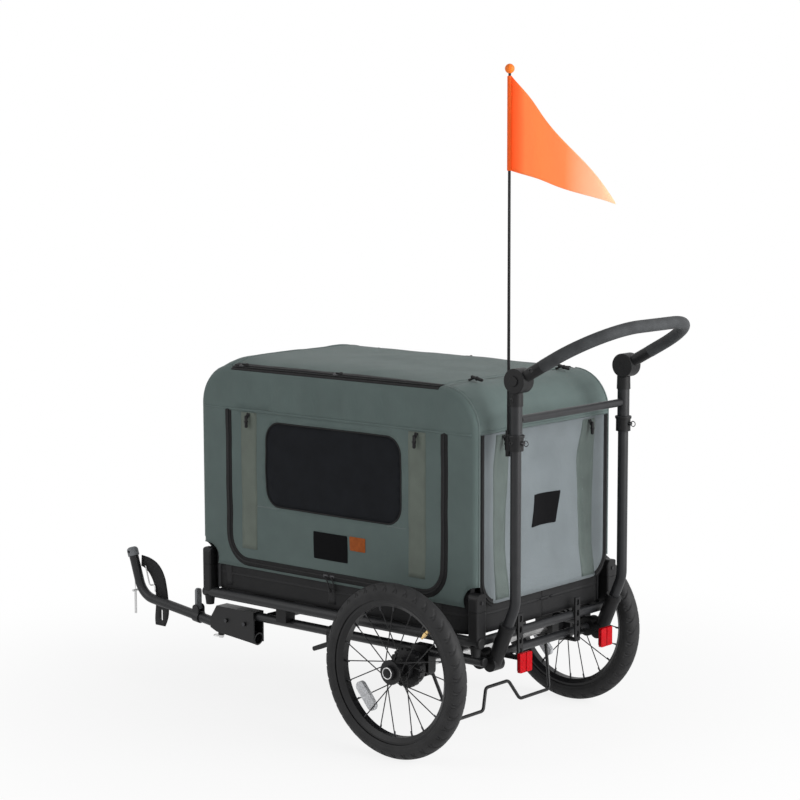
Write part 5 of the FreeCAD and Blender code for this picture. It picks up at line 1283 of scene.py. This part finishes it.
def make_handle_trim():
    heading = math.radians(ARM_DEG)
    along = Vector((math.cos(heading), 0, math.sin(heading))) * ARM_SCREW_REACH
    for side, name in SIDES:
        outward = Vector((0, side, 0))
        neck = at(POST_X, side * (POST_Y + NECK_RADIUS), NECK_SCREW_Z)
        make_screw(name + "_neck_screw", neck, outward, "handle")
        collar = at(POST_X, side * (POST_Y + COLLAR_RADIUS), COLLAR_SCREW_Z)
        make_screw(name + "_collar_screw", collar, outward, "handle")
        arm = at(KNUCKLE_X, side * (KNUCKLE_Y + ARM_RADIUS), KNUCKLE_Z) + along
        make_screw(name + "_arm_screw", arm, outward, "handlebar")
        middle = at(POST_X, side * POST_Y, COLLAR_RING_Z)
        ring(name + "_collar_ring", middle, UPWARD, COLLAR_RING_RADIUS, COLLAR_RING_WIRE, "black_metal",
             "handle")


# Wheels

def wheel_point(side, outward, radius, angle):
    return at(radius * math.cos(angle), side * (WHEEL_Y + outward), AXLE_Z + radius * math.sin(angle))


def tread_cut(around, across):
    """Depth of the tread's leaf-shaped grooves, for shares round the wheel and across the tyre's crown."""
    height = abs(across)
    if not TREAD_START_SHARE < height < TREAD_END_SHARE:
        return 0
    share = (height - TREAD_START_SHARE) / (TREAD_END_SHARE - TREAD_START_SHARE)
    place = around * TREAD_LEAVES + (0.5 if across > 0 else 0)
    bend = TREAD_BEND_SHARE * math.sin(share * math.pi) + TREAD_SLANT_SHARE * share
    lines = [place + bend]
    if share > TREAD_BRANCH_SHARE:
        lines.append(place - TREAD_BRANCH_SLANT_SHARE * (share - TREAD_BRANCH_SHARE) + bend)
    found = 0
    for line in lines:
        gap = abs(line % 1 - 0.5)
        found = max(found, 1 - smooth_step(TREAD_LINE_SHARE / 2, TREAD_LINE_SHARE, gap))
    fade = smooth_step(0, TREAD_FADE_SHARE, share) * (1 - smooth_step(1 - TREAD_FADE_SHARE, 1, share))
    return TREAD_DEPTH * found * fade


def make_tyre(side, name):
    half_width = math.sqrt(TYRE_SECTION ** 2 - (TYRE_RING - TYRE_BEAD) ** 2)
    limit = math.pi - math.asin(half_width / TYRE_SECTION)
    points = []
    for step in range(TYRE_STEPS):
        around = step / TYRE_STEPS
        for row in range(TYRE_SECTION_STEPS + 1):
            across = row / TYRE_SECTION_STEPS * 2 - 1
            angle = across * limit
            section = TYRE_SECTION - tread_cut(around, angle / QUARTER_TURN)
            if abs(abs(across) - BEAD_LINE_SHARE) < BEAD_LINE_WIDTH_SHARE:
                section -= BEAD_LINE_DEPTH
            radius = TYRE_RING + section * math.cos(angle)
            points.append(wheel_point(side, section * math.sin(angle), radius, around * FULL_TURN))
    faces = grid_faces(TYRE_STEPS, TYRE_SECTION_STEPS + 1, rows_closed=True)
    piece = recalculated(mesh_piece(name + "_tyre_tread", points, faces, "tyre", name + "_wheel"))
    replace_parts(piece, name + "_tyre")


def make_wheel_trim(side, name):
    body = name + "_wheel"
    cap = wheel_point(side, CAP_FACE, 0, 0)
    ring(name + "_cap_ring", cap, Vector((0, side, 0)), CAP_RING_RADIUS, CAP_RING_WIRE, "steel", body)
    angle = math.radians(VALVE_ANGLE_DEG)
    inward = wheel_point(side, 0, 0, angle) - wheel_point(side, 0, 1, angle)
    profile = [(-VALVE_RADIUS, VALVE_RADIUS), *scaled(VALVE_SHARES, VALVE_LENGTH, VALVE_RADIUS)]
    start = wheel_point(side, 0, RIM_INNER, angle)
    lathe(name + "_valve", profile, start, inward.normalized(), "brass", body, 20)
    profile = scaled(NIPPLE_SHARES, NIPPLE_LENGTH, NIPPLE_RADIUS)
    for index in range(SPOKES):
        spoke_side = 1 if index % 2 else -1
        lead = 1 if index % 4 < 2 else -1
        offset = spoke_side * (RIM_SPOKE_OFFSET + lead * SPOKE_STEP)
        turn = index / SPOKES * FULL_TURN
        base = wheel_point(side, offset, RIM_INNER, turn)
        tip = wheel_point(side, offset, RIM_INNER - NIPPLE_LENGTH, turn)
        along = (tip - base).normalized()
        lathe(name + "_nipple_%02d" % index, profile, base, along, "dark_steel", body, 10)


# Flag and hitch

def make_flag_pole():
    length = POLE_TOP - POLE_LOW
    radii = [share * POLE_RADIUS for share in POLE_RADIUS_SHARES]
    pole = list(zip((0, POLE_RADIUS, length - BALL_RADIUS, length), radii))
    piece = lathe("flag_rod", pole, at(FLAG_X, FLAG_Y, POLE_LOW), UPWARD, "plastic", "handle", 20)
    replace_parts(piece, "flag_pole")
    half_circle = arc((BALL_RADIUS, 0), BALL_RADIUS, math.pi, 0, BALL_STEPS)
    ball = [(along, max(BALL_TIP_RADIUS, radius)) for along, radius in half_circle]
    lathe("flag_ball", ball, at(FLAG_X, FLAG_Y, POLE_TOP - BALL_RADIUS), UPWARD, "ball", "handle")


def make_pennant():
    top = PENNANT_TOP - BALL_RADIUS
    sleeve = [
        (0, SLEEVE_RADIUS * SLEEVE_HEM_SHARE),
        (SLEEVE_HEM, SLEEVE_RADIUS),
        (top - PENNANT_LOW, SLEEVE_RADIUS),
    ]
    lathe("flag_sleeve", sleeve, at(FLAG_X, FLAG_Y, PENNANT_LOW), UPWARD, "flag", "handle", 24)
    points = []
    rows = PENNANT_STEPS // 2
    start = FLAG_X + SLEEVE_RADIUS * SLEEVE_OVERLAP_SHARE
    for step in range(PENNANT_STEPS + 1):
        share = step / PENNANT_STEPS
        high = top + (PENNANT_TIP_Z + PENNANT_TIP_HEIGHT - top) * share
        low = PENNANT_LOW + (PENNANT_TIP_Z - PENNANT_LOW) * share
        size = PENNANT_WAVE * smooth_step(0, PENNANT_CALM_SHARE, share)
        for row in range(rows + 1):
            height = row / rows
            wave = size * math.sin(share * PENNANT_WAVES * FULL_TURN + height * PENNANT_WAVE_SLANT)
            points.append(at(start + share * PENNANT_LENGTH, FLAG_Y + wave, low + (high - low) * height))
    faces = grid_faces(PENNANT_STEPS + 1, rows + 1)
    cloth = thicken(mesh_piece("flag_cloth", points, faces, "flag", "handle"), PENNANT_CLOTH)
    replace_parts(cloth, "flag_pennant")
    height = PENNANT_TOP - PENNANT_LOW


def strap_point(across_share, down_share):
    return (STRAP_TOP_X + across_share * STRAP_REACH, STRAP_TOP_Z - down_share * STRAP_DROP)


def make_safety_strap():
    outer = [strap_point(*shares) for shares in STRAP_OUTER_SHARES]
    inner = [strap_point(*shares) for shares in STRAP_INNER_SHARES]
    loop = divided(softened(outer) + softened(inner), WEAVE_STEP / 2, True)
    slot = rounded_rectangle(strap_point(*STRAP_SLOT_LOW_SHARES), strap_point(*STRAP_SLOT_HIGH_SHARES),
                             STRAP_SLOT_CORNER, STRAP_SLOT_CORNER, STRAP_SLOT_CORNER)
    place = lambda x, z, lift=0.0: at(x, STRAP_Y - lift, z)
    strap = cloth_panel("hitch_strap", loop, [slot], place, "webbing", "tow_arm",
                        STRAP_CLOTH)
    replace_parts(strap, "safety_strap")


# Stage, light and camera

def seen_rays(tree):
    """One for rays from the camera, straight or by way of a reflection or a clear piece."""
    path = tree.nodes.new("ShaderNodeLightPath")
    total = path.outputs["Is Camera Ray"]
    for kind in ("Is Glossy Ray", "Is Transmission Ray"):
        either = tree.nodes.new("ShaderNodeMath")
        either.operation = "MAXIMUM"
        tree.links.new(total, either.inputs[0])
        tree.links.new(path.outputs[kind], either.inputs[1])
        total = either.outputs[0]
    return total


def finish_floor():
    """White to the camera, and soft in shadow near the object."""
    made = Surface("floor_white", FLOOR_COLOUR, FLOOR_ROUGHNESS)
    made.set(Specular_IOR_Level=FLOOR_SHINE)
    distance = made.node("ShaderNodeVectorMath", operation="LENGTH")
    made.link(made.coordinates, distance.inputs[0])
    glow = made.span(distance.outputs["Value"], FLOOR_NEAR, FLOOR_FAR, FLOOR_GLOW_SHARE, 1,
                     interpolation_type="SMOOTHSTEP")
    seen = made.node("ShaderNodeMath", operation="MULTIPLY")
    made.link(glow, seen.inputs[0])
    made.link(seen_rays(made.tree), seen.inputs[1])
    made.link(seen.outputs[0], made.mix_with(made.node("ShaderNodeEmission").outputs["Emission"]))
    return made.material


def make_floor():
    """Pale floor and backdrop in one."""
    half = FLOOR_SIZE / 2
    mesh = bpy.data.meshes.new("floor")
    corners = [(*corner, 0) for corner in rectangle((-half, -half), (half, half))]
    mesh.from_pydata(corners, [], [(0, 1, 2, 3)])
    mesh.materials.append(finish_floor())
    floor = bpy.data.objects.new("floor", mesh)
    bpy.context.scene.collection.objects.link(floor)


def make_world():
    """White to the camera, and dimmer as light."""
    world = bpy.data.worlds.new("studio")
    world.use_nodes = True
    tree = world.node_tree
    background = tree.nodes["Background"]
    background.inputs["Color"].default_value = (1, 1, 1, 1)
    strength = tree.nodes.new("ShaderNodeMapRange")
    strength.inputs["To Min"].default_value = WORLD_STRENGTH
    tree.links.new(seen_rays(tree), strength.inputs["Value"])
    tree.links.new(strength.outputs["Result"], background.inputs["Strength"])
    bpy.context.scene.world = world


def make_lamp(name, place, size, power):
    lamp = bpy.data.lights.new(name, "AREA")
    lamp.size = size
    lamp.energy = power
    holder = bpy.data.objects.new(name, lamp)
    holder.location = at(*place)
    aim = at(0, 0, AIM_HEIGHT) - holder.location
    holder.rotation_euler = aim.to_track_quat("-Z", "Y").to_euler()
    bpy.context.scene.collection.objects.link(holder)


def make_camera():
    lens = bpy.data.cameras.new("camera")
    lens.sensor_width = CAMERA_SENSOR
    lens.lens = CAMERA_LENS
    lens.clip_end = FLOOR_SIZE
    camera = bpy.data.objects.new("camera", lens)
    azimuth = math.radians(CAMERA_AZIMUTH_DEG)
    elevation = math.radians(CAMERA_ELEVATION_DEG)
    level = math.cos(elevation)
    back = Vector((math.sin(azimuth) * level, -math.cos(azimuth) * level, math.sin(elevation)))
    roll = Matrix.Rotation(math.radians(-CAMERA_ROLL_DEG), 3, "Z")
    turn = (-back).to_track_quat("-Z", "Y").to_matrix() @ roll
    camera.matrix_world = Matrix.Translation(at(*CAMERA_PLACE)) @ turn.to_4x4()
    bpy.context.scene.collection.objects.link(camera)
    bpy.context.scene.camera = camera
    bpy.context.scene.view_settings.view_transform = "Standard"


def make_object():
    dress_cad_nodes()
    for side, name in SIDES:
        make_side(side, name)
        make_piping(side, name)
        make_tyre(side, name)
        make_wheel_trim(side, name)
    make_labels()
    make_rear()
    make_front()
    make_roof()
    make_tub()
    make_tabs()
    make_pulls()
    make_handle_trim()
    make_flag_pole()
    make_pennant()
    make_safety_strap()


make_object()
make_floor()
make_world()
for lamp_name, values in LAMPS.items():
    make_lamp(lamp_name, *values)
make_camera()
